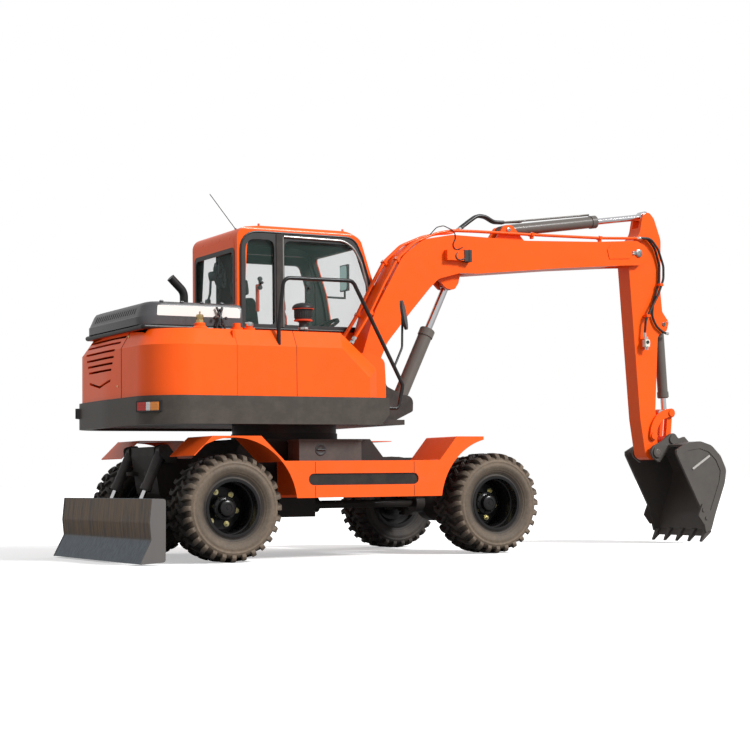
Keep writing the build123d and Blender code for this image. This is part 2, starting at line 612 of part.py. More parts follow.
# Arm: a tapering box from the apex at its ram's eye down to the bucket pin.
arm_rows = [
    (3203, 2935, 46), (3275, 2860, 60), (3343, 2676, 120), (3338, 2493, 300), (3330, 2206, 200),
    (3345, 2037, 40), (3415, 1950, 36), (3390, 1868, 36), (3290, 1830, 60), (3259, 1361, 300),
    (3246, 1167, 300), (3262, 880, 80), (3290, 790, 60), (3215, 715, 70), (3130, 760, 60),
    (3079, 1089, 300), (2985, 2460, 60), (2965, 2560, 60), (3020, 2640, 80), (3110, 2700, 160),
    (3145, 2860, 60),
]
arm = plate_xz(arm_rows, BOOM_Y - ARM_HALF, BOOM_Y + ARM_HALF)
arm -= pin(ARM_PIVOT, BOOM_Y - BOOM_HALF, BOOM_Y + BOOM_HALF, 36 + RUN_GAP)
arm_slot = ear_inner + 2
arm -= plate_xz(
    [(2950, 2780, 0), (3120, 2780, 30), (3250, 2740, 30), (3400, 2740, 0), (3400, 3100, 0), (2950, 3100, 0)],
    BOOM_Y - arm_slot, BOOM_Y + arm_slot,
)
arm -= plate_xz(
    [(3300, 1700, 0), (3500, 1700, 0), (3500, 2010, 0), (3350, 2010, 0), (3300, 1965, 20)],
    BOOM_Y - BUCKET_TUBE - SIDE_GAP, BOOM_Y + BUCKET_TUBE + SIDE_GAP,
)
arm += pin(BUCKET_RAM_BASE, BOOM_Y - ARM_HALF - 4, BOOM_Y + ARM_HALF + 4, BUCKET_RAM_PIN)
arm += pin(ROCKER_PIN, BOOM_Y - ROCKER_OUT - 2, BOOM_Y + ROCKER_OUT + 2, 24)
for low, high in ((ROCKER_OUT + 0.5, ROCKER_OUT + PIN_CAP), (-ROCKER_OUT - PIN_CAP, -ROCKER_OUT - 0.5)):
    arm += pin(ROCKER_PIN, BOOM_Y + low, BOOM_Y + high, PIN_CAP_RADIUS)
arm += pin(BUCKET_PIN, BOOM_Y - EAR_OUT - BOSS + 3, BOOM_Y + EAR_OUT + BOSS - 3, 27)
save("arm", arm)

# Rocker plates, either side of the arm, from the arm to the ram's eye.

def strap(a, b, a_radius, b_radius, waist, y_low, y_high):
    """A flat bar with round ends between two pins."""
    turn = degrees(atan2(b[1] - a[1], b[0] - a[0]))
    length = hypot(b[0] - a[0], b[1] - a[1])
    whole = pin((0, 0), y_low, y_high, a_radius) + pin((length, 0), y_low, y_high, b_radius)
    whole += box(0, length, y_low, y_high, -waist, waist)
    return Pos(a[0], 0, a[1]) * Rot(0, -turn, 0) * whole


def curved_strap(a, b, bulge, half, y_low, y_high):
    """A bar bent along an arc between two pins, with round ends."""
    turn = degrees(atan2(b[1] - a[1], b[0] - a[0]))
    length = hypot(b[0] - a[0], b[1] - a[1])
    radius = (length ** 2 / 4 + bulge ** 2) / (2 * bulge)
    middle = (length / 2, bulge - radius)
    ring = pin(middle, y_low, y_high, radius + half) - pin(middle, y_low - 1, y_high + 1, radius - half)
    reach = 2 * radius / (radius - bulge)
    wedge = plate_xz(
        [(middle[0], middle[1], 0), (middle[0] - reach * length / 2, middle[1] - reach * middle[1], 0),
         (middle[0], middle[1] + 3 * radius, 0), (middle[0] + reach * length / 2, middle[1] - reach * middle[1], 0)],
        y_low, y_high)
    whole = (ring & wedge) + pin((0, 0), y_low, y_high, half + 4) + pin((length, 0), y_low, y_high, half + 4)
    return Pos(a[0], 0, a[1]) * Rot(0, -turn, 0) * whole


rocker = []
for low, high, cap_low, cap_high in (
    (ROCKER_IN, ROCKER_OUT, ROCKER_IN, ROCKER_OUT + PIN_CAP),
    (-ROCKER_OUT, -ROCKER_IN, -ROCKER_OUT - PIN_CAP, -ROCKER_IN),
):
    one = curved_strap(ROCKER_PIN, CRANK_PIN, CRANK_BULGE, 36, BOOM_Y + low, BOOM_Y + high)
    one += pin(CRANK_PIN, BOOM_Y + cap_low, BOOM_Y + cap_high, PIN_CAP_RADIUS)
    one -= pin(ROCKER_PIN, BOOM_Y - 200, BOOM_Y + 200, 24 + RUN_GAP)
    rocker.append(one)
save("rocker", *rocker)

# Link: two straps joined by a cross tube, from the crank pin to the bucket.
LINK_IN = 30 + SIDE_GAP
LINK_OUT = ROCKER_IN - SIDE_GAP
link = strap(LINK_PIN, CRANK_PIN, 32, 38, 26, BOOM_Y + LINK_IN, BOOM_Y + LINK_OUT)
link += strap(LINK_PIN, CRANK_PIN, 32, 38, 26, BOOM_Y - LINK_OUT, BOOM_Y - LINK_IN)
link += pin(LINK_PIN, BOOM_Y - LINK_OUT, BOOM_Y + LINK_OUT, 32)
link -= pin(LINK_PIN, BOOM_Y - 300, BOOM_Y + 300, 22 + RUN_GAP)
save("link", link)

# Bucket: a curved back sheet between two side plates, with ears on top.
bucket_rows = [
    (3240, 811, 8), (3351, 868, 60), (3499, 888, 120), (3625, 852, 110), (3725, 760, 110),
    (3785, 640, 90), (3765, 520, 160), (3655, 258, 60), (3605, 120, 10), (3545, 95, 8),
    (3490, 314, 120), (3240, 778, 8),
]
sheet_outer = [
    (3326, 858, 0), (3351, 868, 60), (3499, 888, 120), (3625, 852, 110), (3725, 760, 110),
    (3785, 640, 90), (3765, 520, 160), (3655, 258, 60), (3603, 110, 0), (3566, 62, 0),
    (3552, 72, 0), (3585, 120, 0), (3636, 265, 60), (3743, 522, 145), (3766, 640, 75),
    (3708, 750, 95), (3616, 836, 95), (3499, 870, 105), (3356, 850, 45), (3333, 840, 0),
]
bucket = plate_xz(sheet_outer, BUCKET_RIGHT + BUCKET_SIDE, BUCKET_LEFT - BUCKET_SIDE)
bucket += plate_xz(bucket_rows, BUCKET_RIGHT, BUCKET_RIGHT + BUCKET_SIDE)
bucket += plate_xz(bucket_rows, BUCKET_LEFT - BUCKET_SIDE, BUCKET_LEFT)
face_in = 6.0
band = outline(bucket_rows)
recess = offset(band, amount=-BUCKET_BAND)
recess = extrude(recess, amount=face_in, dir=(0, 0, 1))
bucket -= Pos(0, BUCKET_RIGHT + face_in, 0) * Plane.XZ.location * recess
bucket -= Pos(0, BUCKET_LEFT, 0) * Plane.XZ.location * recess
rib_line = [(3406, 655, 0), (3418, 640, 0), (3608, 754, 0), (3596, 769, 0)]
cutter = [
    (3452, 243, 8), (3524, 153, 8), (3598, 259, 8), (3560, 330, 8), (3498, 344, 8),
]
for inner, outer in ((BUCKET_RIGHT + face_in + 1, BUCKET_RIGHT), (BUCKET_LEFT - face_in - 1, BUCKET_LEFT)):
    bucket += plate_xz(rib_line, min(inner, outer), max(inner, outer))
for y_low, y_high in ((BUCKET_RIGHT - CUTTER, BUCKET_RIGHT + 1), (BUCKET_LEFT - 1, BUCKET_LEFT + CUTTER)):
    bucket += plate_xz(cutter, y_low, y_high)
    for x, z in ((3508, 292), (3540, 222)):
        bucket += pin((x, z), y_low - 8, y_high + 8, 17) & box(3400, 3700, y_low - 8, y_high + 8, 100, 400)
bucket_ear = [
    (3178, 742, 0), (3231, 708, 6), (3318, 806, 30), (3350, 850, 0), (3585, 862, 0), (3512, 932, 8),
    (3452, 914, 25), (3400, 950, 0), (3345, 950, 0), (3270, 895, 60), (3176, 852, 0),
]
for low, high, boss_low, boss_high in (
    (EAR_IN, EAR_OUT, EAR_IN, EAR_OUT + BOSS), (-EAR_OUT, -EAR_IN, -EAR_OUT - BOSS, -EAR_IN)):
    bucket += plate_xz(bucket_ear, BOOM_Y + low, BOOM_Y + high)
    bucket += pin(BUCKET_PIN, BOOM_Y + low, BOOM_Y + high, 64)
    bucket += pin(LINK_PIN, BOOM_Y + low, BOOM_Y + high, 52)
    bucket += pin(BUCKET_PIN, BOOM_Y + boss_low, BOOM_Y + boss_high, 48)
    bucket += pin(LINK_PIN, BOOM_Y + boss_low, BOOM_Y + boss_high, 40)
bucket += pin(LINK_PIN, BOOM_Y - EAR_OUT - 4, BOOM_Y + EAR_OUT + 4, 22)
bucket -= pin(BUCKET_PIN, BOOM_Y - EAR_OUT - BOSS - 10, BOOM_Y + EAR_OUT + BOSS + 10, 27 + RUN_GAP)
save("bucket", bucket)

teeth = []
tooth_pitch = (BUCKET_LEFT - BUCKET_RIGHT - 76) / (TEETH - 1)
for k in range(TEETH):
    y = BUCKET_RIGHT + 38 + k * tooth_pitch
    tooth = plate_xz(
        [(3612, 100, 0), (3516, 12, 0), (3506, 20, 0), (3562, 122, 0), (3600, 130, 0)], y - 30, y + 30)
    teeth.append(tooth - bucket)
save("bucket_teeth", *teeth)

# Dozer blade: a curved upper sheet, a sloping lower plate, end plates and arms.
blade_front = [
    (BLADE_X + 18, 470, 0), (BLADE_X, 300, 60), (BLADE_X + 13, 178, 20), (BLADE_X - 73, BLADE_EDGE_Z, 0),
    (BLADE_X - 55, BLADE_EDGE_Z, 0), (BLADE_X + 32, 178, 20), (BLADE_X + 20, 300, 60), (BLADE_X + 38, 470, 0),
]
blade = plate_xz(blade_front, -BLADE_HALF + BLADE_END, BLADE_HALF - BLADE_END)
end_rows = [
    (BLADE_X + 15, 470, 6), (BLADE_X - 2, 300, 60), (BLADE_X + 10, 178, 20), (BLADE_X - 76, BLADE_EDGE_Z - 2, 4),
    (BLADE_X + 115, BLADE_EDGE_Z + 10, 20), (BLADE_X + 118, 466, 20),
]
for y_low in (-BLADE_HALF, BLADE_HALF - BLADE_END):
    blade += plate_xz(end_rows, y_low, y_low + BLADE_END)
arm_plate = [
    (BLADE_X + 25, 420, 0), (BLADE_X + 15, 300, 0), (BLADE_X + 25, 160, 0), (BLADE_X + 120, 160, 30),
    (pivot_x - 10, pivot_z - 55, 42), (pivot_x + 55, pivot_z, 42), (pivot_x, pivot_z + 55, 42),
    (BLADE_X + 200, 440, 20), (BLADE_X + 110, 440, 10),
]
blade_ear_in = BLADE_EYE_HALF + SIDE_GAP
for sign in (1, -1):
    for low, high in ((blade_ear_in, blade_ear_in + 18), (-blade_ear_in - 18, -blade_ear_in)):
        y = sorted((sign * BLADE_ARM_Y + low, sign * BLADE_ARM_Y + high))
        blade += plate_xz(arm_plate, y[0], y[1])
for y in (-BLADE_ARM_Y, BLADE_ARM_Y):
    blade -= pin(BLADE_PIVOT, y - 70, y + 70, 28 + RUN_GAP)
save("dozer_blade", blade)

def body_plan(half, rear, front):
    """The tail's plan: a slightly convex rear and wide rounded corners."""
    return [
        (front, -half, 0), (rear + 35, -half, TAIL_CORNER), (rear, 0, 1800),
        (rear + 35, half, TAIL_CORNER), (front, half, 0),
    ]


# Turntable: the slewing frame with the boom's ears at its nose.
deck = plate_xy(body_plan(BODY_Y - SKIRT_WALL - SEAT_GAP, TAIL_X + TAIL_WALL + SEAT_GAP, 640),
                FLOOR_Z + 20, FLOOR_Z + 60)
deck -= plate_xy([(190, -BODY_Y, 0), (700, -BODY_Y, 0), (700, -360, 0), (420, -360, 0)],
                 FLOOR_Z, FLOOR_Z + 80)
turntable = deck + Pos(SLEW_X, 0, RING_JOINT_Z + SEAT_GAP) * Cylinder(
    RING_RADIUS - 8, FLOOR_Z + 20 - RING_JOINT_Z - SEAT_GAP, align=(Align.CENTER, Align.CENTER, Align.MIN))
for x_low, y_low, y_high in (
    (-600, 30, 850), (500, 30, 850), (-600, -850, -340), (60, -850, -340),
):
    turntable += box(x_low, x_low + 80, y_low, y_high, FLOOR_Z + 55, DECK_Z)
ear_rows = [
    (-620, FLOOR_Z + 50, 0), (560, FLOOR_Z + 50, 0), (735, 1130, 20), (740, 1250, 60), (640, 1262, 30),
    (490, 1330, 40), (480, 1540, 60), (300, 1610, 90), (180, 1500, 120), (-620, 1300, 0),
]
ear_in = BOOM_HALF + SIDE_GAP
for low, high in ((ear_in, ear_in + EAR), (-ear_in - EAR, -ear_in)):
    turntable += plate_xz(ear_rows, BOOM_Y + low, BOOM_Y + high)
turntable += pin(BOOM_RAM_BASE, BOOM_Y - ear_in - 8, BOOM_Y + ear_in + 8, BOOM_RAM_PIN)
turntable += pin(BOOM_FOOT, BOOM_Y - ear_in - EAR - 8, BOOM_Y + ear_in + EAR + 8, FOOT_PIN)
save("turntable", turntable)


# Black skirt round the tail and the sides, the lower part of the counterweight.
skirt = plate_xy(body_plan(BODY_Y, TAIL_X, 600), FLOOR_Z, DECK_Z)
skirt -= plate_xy(body_plan(BODY_Y - SKIRT_WALL, TAIL_X + TAIL_WALL, 700), FLOOR_Z - 10, DECK_Z + 10)
skirt -= box(199, 700, -BODY_Y - 10, 0, FLOOR_Z - 10, DECK_Z + 10)
skirt -= plate_xz([(130, FLOOR_Z - 1, 0), (210, FLOOR_Z - 1, 0), (210, FLOOR_Z + 90, 0)], -BODY_Y - 10, 0)
lamps = []
for sign in (1, -1):
    place = Pos(-1680, sign * 735, 1127) * Rot(0, 0, -sign * LAMP_TURN)
    skirt -= place * Box(42 + 2 * SEAT_GAP, 214 + 2 * SEAT_GAP, 80 + 2 * SEAT_GAP)
    lamps.append(place * Box(42, 214, 80))
save("tail_skirt", skirt)
save("tail_lamps", *lamps)

# Engine bay: rear and side walls that lean in above, a top plate with a hatch
# and its coaming, and louvre slots in the rear wall.
bay = plate_xy(body_plan(PANEL_Y, TAIL_X + 18, BAY_FRONT), DECK_Z, EDGE_Z)
low_edge = Pos(0, 0, EDGE_Z) * outline(body_plan(PANEL_Y, TAIL_X + 18, BAY_FRONT))
high_edge = Pos(0, 0, BODY_TOP) * outline(body_plan(PANEL_Y - EDGE_IN, TAIL_X + 18 + EDGE_IN, BAY_FRONT))
bay += loft([low_edge, high_edge], ruled=True)
bay -= plate_xy(body_plan(PANEL_Y - BAY_WALL, TAIL_X + 18 + BAY_WALL, BAY_FRONT - BAY_WALL),
                DECK_Z - 10, EDGE_Z)
bay -= plate_xy(body_plan(PANEL_Y - 95, TAIL_X + 115, BAY_FRONT - BAY_WALL), EDGE_Z - 5, BODY_TOP - 20)
bay -= box(RIGHT_REAR - 3, 0, -PANEL_Y - 10, BODY_IN_Y + 3, DECK_Z - 10, BODY_TOP + 40)
bay += box(RIGHT_REAR - 23, RIGHT_REAR - 3, -PANEL_Y + BAY_WALL - 2, BODY_IN_Y + 23, DECK_Z, BODY_TOP - 10)
hatch = box(HOOD_REAR + 40, HOOD_FRONT - 30, -HOOD_HALF + 30, HOOD_HALF - 30, BODY_TOP - 60, BODY_TOP + 80)
bay -= hatch
coaming = box(HOOD_REAR + 20, HOOD_FRONT - 10, -HOOD_HALF + 10, HOOD_HALF - 10, BODY_TOP, HOOD_BOTTOM - SEAT_GAP)
bay += coaming - hatch
# Louvres in the rear wall: height, and half length from their middle.
louvre_table = [
    (1665, 432), (1625, 378), (1571, 334), (1522, 316), (1476, 293), (1429, 268),
]
for z, half_length in louvre_table:
    slot_rows = [
        (LOUVRE_Y - half_length, z - LOUVRE_GAP / 2, 8), (LOUVRE_Y + half_length, z - LOUVRE_GAP / 2, 8),
        (LOUVRE_Y + half_length, z + LOUVRE_GAP / 2, 8), (LOUVRE_Y - half_length, z + LOUVRE_GAP / 2, 8),
    ]
    bay -= plate_yz(slot_rows, TAIL_X - 60, TAIL_X + 170)
chevron = [
    (LOUVRE_Y - 248, 1358, 0), (LOUVRE_Y, 1318, 0), (LOUVRE_Y + 248, 1358, 0),
    (LOUVRE_Y + 248, 1340, 0), (LOUVRE_Y, 1300, 0), (LOUVRE_Y - 248, 1340, 0),
]
bay -= plate_yz(chevron, TAIL_X - 60, TAIL_X + 170)
save("engine_bay", bay)

# Right-hand body: tanks behind and a box with cut corners in front.
inner_rows = [
    (RIGHT_REAR, DECK_Z), (137, DECK_Z), (137, 1430), (-170, BODY_TOP), (RIGHT_REAR, BODY_TOP),
]
outer_rows = [
    (RIGHT_REAR, DECK_Z), (41, DECK_Z), (41, 1353), (-194, EDGE_Z), (RIGHT_REAR, EDGE_Z),
]
lean = Plane.XZ.offset(PANEL_Y - EDGE_IN) * make_face(Polyline(*inner_rows, close=True))
face = Plane.XZ.offset(PANEL_Y) * make_face(Polyline(*outer_rows, close=True))
right_body = loft([lean, face], ruled=True)
right_body += plate_xz([(x, z, 0) for x, z in inner_rows], -PANEL_Y + EDGE_IN, BODY_IN_Y)
for x, base, height in ((-1000, 46, 34), (-900, 44, 26)):
    right_body += bar((x, CAP_Y, BODY_TOP - 2), (x, CAP_Y, BODY_TOP + 16), base)
    right_body += bar((x, CAP_Y, BODY_TOP + 14), (x, CAP_Y, BODY_TOP + 16 + height), base - 18)
save("right_body", right_body)

# Engine as one closed block on the turntable.
save("engine_block", box(-1430, -880, -320, 430, FLOOR_Z + 60, 1640))

# Hood over the engine: a steep lower band, a sloping rear face with slanted
# louvres, sides that lean in above the band, and a shallow crown.
hood_rows = [
    (HOOD_REAR, HOOD_BOTTOM, 0), (HOOD_REAR + 10, HOOD_BOTTOM + HOOD_BAND, 30), (HOOD_REAR + 110, HOOD_TOP, 34),
    (HOOD_FRONT - 12, HOOD_TOP - 4, 26), (HOOD_FRONT, HOOD_BOTTOM + HOOD_BAND, 0), (HOOD_FRONT, HOOD_BOTTOM, 0),
]
end_shape = [
    (-HOOD_HALF, HOOD_BOTTOM, 0), (-HOOD_HALF, HOOD_BOTTOM + HOOD_BAND, 0), (-HOOD_HALF + 18, HOOD_TOP, 24),
    (HOOD_HALF - 18, HOOD_TOP, 24), (HOOD_HALF, HOOD_BOTTOM + HOOD_BAND, 0), (HOOD_HALF, HOOD_BOTTOM, 0),
]
hood = plate_xz(hood_rows, -HOOD_HALF, HOOD_HALF) & plate_yz(end_shape, HOOD_REAR, HOOD_FRONT)
inner_hood = [
    (HOOD_REAR + HOOD_WALL, HOOD_BOTTOM - 1, 0), (HOOD_REAR + 10 + HOOD_WALL, HOOD_BOTTOM + HOOD_BAND, 20),
    (HOOD_REAR + 106 + HOOD_WALL, HOOD_TOP - HOOD_WALL, 24), (HOOD_FRONT - 12 - HOOD_WALL, HOOD_TOP - HOOD_WALL - 4, 16),
    (HOOD_FRONT - HOOD_WALL, HOOD_BOTTOM + HOOD_BAND, 0), (HOOD_FRONT - HOOD_WALL, HOOD_BOTTOM - 1, 0),
]
hollow = [
    (-HOOD_HALF + HOOD_WALL, HOOD_BOTTOM - 1, 0), (-HOOD_HALF + HOOD_WALL, HOOD_BOTTOM + HOOD_BAND, 0),
    (-HOOD_HALF + HOOD_WALL + 18, HOOD_TOP - HOOD_WALL + 1, 0), (HOOD_HALF - HOOD_WALL - 18, HOOD_TOP - HOOD_WALL + 1, 0),
    (HOOD_HALF - HOOD_WALL, HOOD_BOTTOM + HOOD_BAND, 0), (HOOD_HALF - HOOD_WALL, HOOD_BOTTOM - 1, 0),
]
hood -= plate_xz(inner_hood, -HOOD_HALF + HOOD_WALL, HOOD_HALF - HOOD_WALL) & plate_yz(hollow, HOOD_REAR, HOOD_FRONT)
slat_low = HOOD_BOTTOM + HOOD_BAND + 0.32 * (HOOD_TOP - HOOD_BOTTOM - HOOD_BAND)
slat_high = HOOD_TOP - 0.22 * (HOOD_TOP - HOOD_BOTTOM - HOOD_BAND)
slat_pitch = 2 * HOOD_GRILLE_HALF / (HOOD_SLATS - 1)
for k in range(HOOD_SLATS):
    y = -HOOD_GRILLE_HALF + k * slat_pitch
    hood -= plate_yz(
        [(y - 14, slat_low, 0), (y - 2, slat_low, 0), (y + 12, slat_high, 0), (y, slat_high, 0)],
        HOOD_REAR - 10, HOOD_REAR + 160)
save("engine_hood", hood)

# Exhaust pipe on the hood.
EXHAUST_X = -1146.0
EXHAUST_Y = -100.0
exhaust = tube(
    [(EXHAUST_X, EXHAUST_Y, HOOD_TOP - 12), (EXHAUST_X, EXHAUST_Y, HOOD_TOP + 130),
     (EXHAUST_X - 110, EXHAUST_Y, HOOD_TOP + 236)], 90, 32)
exhaust -= hood
exhaust = max(exhaust.solids(), key=lambda solid: solid.volume)
save("exhaust_stack", exhaust)

# Air cleaner with its rain cap on the right-hand body.
cleaner = bar((-378, -600, BODY_TOP), (-378, -600, 1880), 52)
cleaner += bar((-378, -600, 1850), (-378, -600, 1934), 80)
save("air_cleaner", cleaner)

# Hand rail on the right.
RAIL_Y = -862.0
rail = tube(
    [(-711, RAIL_Y, 1540), (-711, RAIL_Y, 1740), (-667, RAIL_Y, 2086), (-87, RAIL_Y, 2089),
     (339, RAIL_Y, 1307), (300, RAIL_Y, 1128), (190, RAIL_Y, 1128)],
    [40, 60, 60, 60, 40], 15)
rail -= right_body
rail -= skirt
save("hand_rail", max(rail.solids(), key=lambda solid: solid.volume))

# Mirrors.
mirror_right = bar((380, -800, 1850), (396, -812, 1853), 115)
mirror_right += tube([(268, RAIL_Y, 1450), (372, -800, 1600), (378, -800, 1848)], 60, 9)
mirror_right -= rail
save("mirror_right", mirror_right)
# Cab: a hollow shell with window openings and a doorway on the left.
cab_rows = [
    (CAB_REAR, DECK_Z, 0), (CAB_REAR, CAB_ROOF - 30, 90), (-420, CAB_ROOF, 200),
    (330, CAB_ROOF, 200), (455, CAB_ROOF - 70, 90), (575, 2177, 300), (CAB_FRONT, 1850, 200),
    (CAB_FRONT, 1400, 100), (CAB_FRONT - 40, DECK_Z, 0),
]
cab_end = [
    (CAB_RIGHT, DECK_Z, 0), (CAB_LEFT, DECK_Z, 0), (CAB_LEFT, CAB_ROOF, CAB_EDGE), (CAB_RIGHT, CAB_ROOF, CAB_EDGE),
]
cab = plate_xz(cab_rows, CAB_RIGHT, CAB_LEFT) & plate_yz(cab_end, CAB_REAR, CAB_FRONT)
w = CAB_WALL
inside_rows = [
    (CAB_REAR + w, CAB_FLOOR, 20), (CAB_REAR + w, CAB_ROOF - 30 - w, 70), (-420, CAB_ROOF - w, 150),
    (330, CAB_ROOF - w, 150), (455 - w, CAB_ROOF - 70 - 20, 70), (575 - w, 2177, 250),
    (CAB_FRONT - w, 1850, 150), (CAB_FRONT - w, 1400, 80), (CAB_FRONT - 40 - w, CAB_FLOOR, 20),
]
cab -= plate_xz(inside_rows, CAB_RIGHT + w, CAB_LEFT - w)
right_windows = [
    [(-600, SILL_Z, 30), (-325, SILL_Z, 30), (-325, 2500, 60), (-560, 2500, 60)],
    [(-245, SILL_Z, 30), (540, SILL_Z, 40), (520, 2190, 150), (410, 2500, 60), (-245, 2500, 60)],
]
left_windows = [[(-600, SILL_Z, 30), (-425, SILL_Z, 30), (-425, 2500, 60), (-560, 2500, 60)]]
for rows in right_windows:
    cab -= plate_xz(rows, CAB_RIGHT - 10, CAB_RIGHT + w + 10)
for rows in left_windows:
    cab -= plate_xz(rows, CAB_LEFT - w - 10, CAB_LEFT + 10)
rear_window = [(CAB_RIGHT + 75, 1915, 40), (CAB_LEFT - 75, 1915, 40), (CAB_LEFT - 75, 2480, 40), (CAB_RIGHT + 75, 2480, 40)]
cab -= plate_yz(rear_window, CAB_REAR - 10, CAB_REAR + w + 10)
front_window = [(CAB_RIGHT + 60, 1300, 40), (CAB_LEFT - 60, 1300, 40), (CAB_LEFT - 60, 2480, 40), (CAB_RIGHT + 60, 2480, 40)]
cab -= plate_yz(front_window, 380, CAB_FRONT + 10)
door_hole = [
    (DOOR_REAR, DOOR_BOTTOM, 40), (DOOR_FRONT, DOOR_BOTTOM, 40), (DOOR_FRONT, 2250, 150),
    (DOOR_FRONT - 80, DOOR_TOP, 60), (DOOR_REAR, DOOR_TOP, 60),
]
cab -= plate_xz(door_hole, CAB_LEFT - w - 10, CAB_LEFT + 10)
HINGE_X = DOOR_REAR - 8
HINGE_Y = CAB_LEFT + 15
hinge_heights = (1450, 2250)
for z in hinge_heights:
    cab += bar((HINGE_X, HINGE_Y, z + 40 + SEAT_GAP), (HINGE_X, HINGE_Y, z + 66), 12)
    cab += box(HINGE_X - 50, HINGE_X, CAB_LEFT - 1, HINGE_Y, z + 43, z + 64)
save("cab_shell", cab)

mirror_left = box(770, 790, 830, 970, 2225, 2455)
mirror_left += bar((780, 900, 2225), (780, 900, 2160), 9)
mirror_left += bar((780, 900, 2165), (560, 880, 2165), 9)
mirror_left -= cab
save("mirror_left", mirror_left)


# Panes set in the shell's openings.
def pane_face(rows):
    """A window's outline, smaller all round by the glazing gap."""
    return offset(outline(rows), amount=-GLASS_GAP)


def side_pane(rows, y_mid):
    """A flat pane facing Y."""
    solid = extrude(pane_face(rows), amount=GLASS, dir=(0, 0, 1))
    return Pos(0, y_mid + GLASS / 2, 0) * Plane.XZ.location * solid


panes = [side_pane(rows, CAB_RIGHT + w / 2) for rows in right_windows]
panes += [side_pane(rows, CAB_LEFT - w / 2) for rows in left_windows]
rear_pane = extrude(pane_face(rear_window), amount=GLASS, dir=(0, 0, 1))
panes.append(Pos(CAB_REAR + w / 2 - GLASS / 2, 0, 0) * Plane.YZ.location * rear_pane)
skin = extrude(offset(outline(cab_rows), amount=-w / 2) - offset(outline(cab_rows), amount=-w / 2 - GLASS),
               amount=1000, dir=(0, 0, 1))
skin = Pos(0, 950, 0) * Plane.XZ.location * skin
front_hole = extrude(pane_face(front_window), amount=300, dir=(0, 0, 1))
panes.append(skin & (Pos(380, 0, 0) * Plane.YZ.location * front_hole))
save("cab_glass", *panes)

# Door with its own window.
door_rows = [
    (DOOR_REAR + DOOR_GAP, DOOR_BOTTOM + DOOR_GAP, 36), (DOOR_FRONT - DOOR_GAP, DOOR_BOTTOM + DOOR_GAP, 36),
    (DOOR_FRONT - DOOR_GAP, 2250, 150), (DOOR_FRONT - 80 - DOOR_GAP, DOOR_TOP - DOOR_GAP, 56),
    (DOOR_REAR + DOOR_GAP, DOOR_TOP - DOOR_GAP, 56),
]
door = plate_xz(door_rows, CAB_LEFT - w + 4, CAB_LEFT)
door_window = [
    (DOOR_REAR + 80, 1640, 40), (DOOR_FRONT - 80, 1640, 40), (DOOR_FRONT - 80, 2240, 130),
    (DOOR_FRONT - 140, DOOR_TOP - 80, 50), (DOOR_REAR + 80, DOOR_TOP - 80, 50),
]
door -= plate_xz(door_window, CAB_LEFT - w - 10, CAB_LEFT + 10)
for z in hinge_heights:
    door += bar((HINGE_X, HINGE_Y, z - 40), (HINGE_X, HINGE_Y, z + 40), 12)
    door += box(HINGE_X, DOOR_REAR + 44, CAB_LEFT + 3, HINGE_Y, z - 38, z + 38)
    door += box(DOOR_REAR + 12, DOOR_REAR + 44, CAB_LEFT - 1, CAB_LEFT + 5, z - 38, z + 38)
save("cab_door", door)
save("door_glass", side_pane(door_window, CAB_LEFT - w / 2))

# Seat and controls.
seat = box(-330, 60, 250, 650, CAB_FLOOR, 1560)
seat += box(-360, 130, 220, 680, 1560, 1680)
seat += box(-460, -340, 230, 670, 1600, 2200)
save("seat", seat)
controls = box(-250, 80, 90, 180, CAB_FLOOR, 1790)
controls += bar((40, 135, 1790), (60, 135, 1960), 14)
column = box(330, 420, 400, 500, CAB_FLOOR, 1700)
column += bar((375, 450, 1700), (300, 450, 1830), 22)
wheel_plane = Plane(origin=(297, 450, 1836), z_dir=(-75, 0, 130))
column += wheel_plane.location * (Cylinder(185, 22) - Cylinder(160, 30))
column += wheel_plane.location * Box(340, 24, 16)
save("controls", controls, column)
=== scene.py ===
from math import atan2, cos, pi, radians, sin, tan

import bmesh
import bpy
from bpy.props import FloatProperty, FloatVectorProperty, IntProperty, PointerProperty
from mathutils import Matrix, Vector


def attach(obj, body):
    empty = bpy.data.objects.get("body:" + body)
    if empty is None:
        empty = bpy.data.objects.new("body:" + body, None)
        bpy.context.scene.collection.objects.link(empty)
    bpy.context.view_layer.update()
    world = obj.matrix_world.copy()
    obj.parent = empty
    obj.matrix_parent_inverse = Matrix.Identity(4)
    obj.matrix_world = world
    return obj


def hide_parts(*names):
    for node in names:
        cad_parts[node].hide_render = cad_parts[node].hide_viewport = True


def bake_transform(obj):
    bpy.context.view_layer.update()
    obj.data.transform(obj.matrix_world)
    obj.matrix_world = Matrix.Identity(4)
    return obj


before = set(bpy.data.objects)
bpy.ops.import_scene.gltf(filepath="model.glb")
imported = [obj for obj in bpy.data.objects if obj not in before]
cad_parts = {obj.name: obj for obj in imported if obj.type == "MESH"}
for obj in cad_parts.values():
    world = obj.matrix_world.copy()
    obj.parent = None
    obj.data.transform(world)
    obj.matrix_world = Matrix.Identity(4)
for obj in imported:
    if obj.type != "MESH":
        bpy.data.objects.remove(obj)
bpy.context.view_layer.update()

bl_info = {
    "name": "Wheeled Excavator Dressing",
    "version": (1, 0, 0),
    "blender": (4, 5, 0),
    "location": "View3D > Sidebar > Excavator",
    "description": "Dresses a wheeled excavator's frame with its finishes, tyres, fittings and pipes",
    "category": "Object",
}

# Lengths are metres, X from the middle of the wheelbase, and SHIFT brings them to the frame's own X.
SHIFT = -0.9741
BOOM_Y = -0.170
WHEEL_Z = 0.392
WHEEL_X = 1.1225
WHEEL_Y = 0.7875
BODY_TOP = 1.695
# The sides at which the boom's two pairs of pipes run.
RIGHT_PIPES = (-0.288, -0.262)
LEFT_PIPES = (-0.078, -0.052)
RIGHT_CLAMP = -0.275
LEFT_CLAMP = -0.065


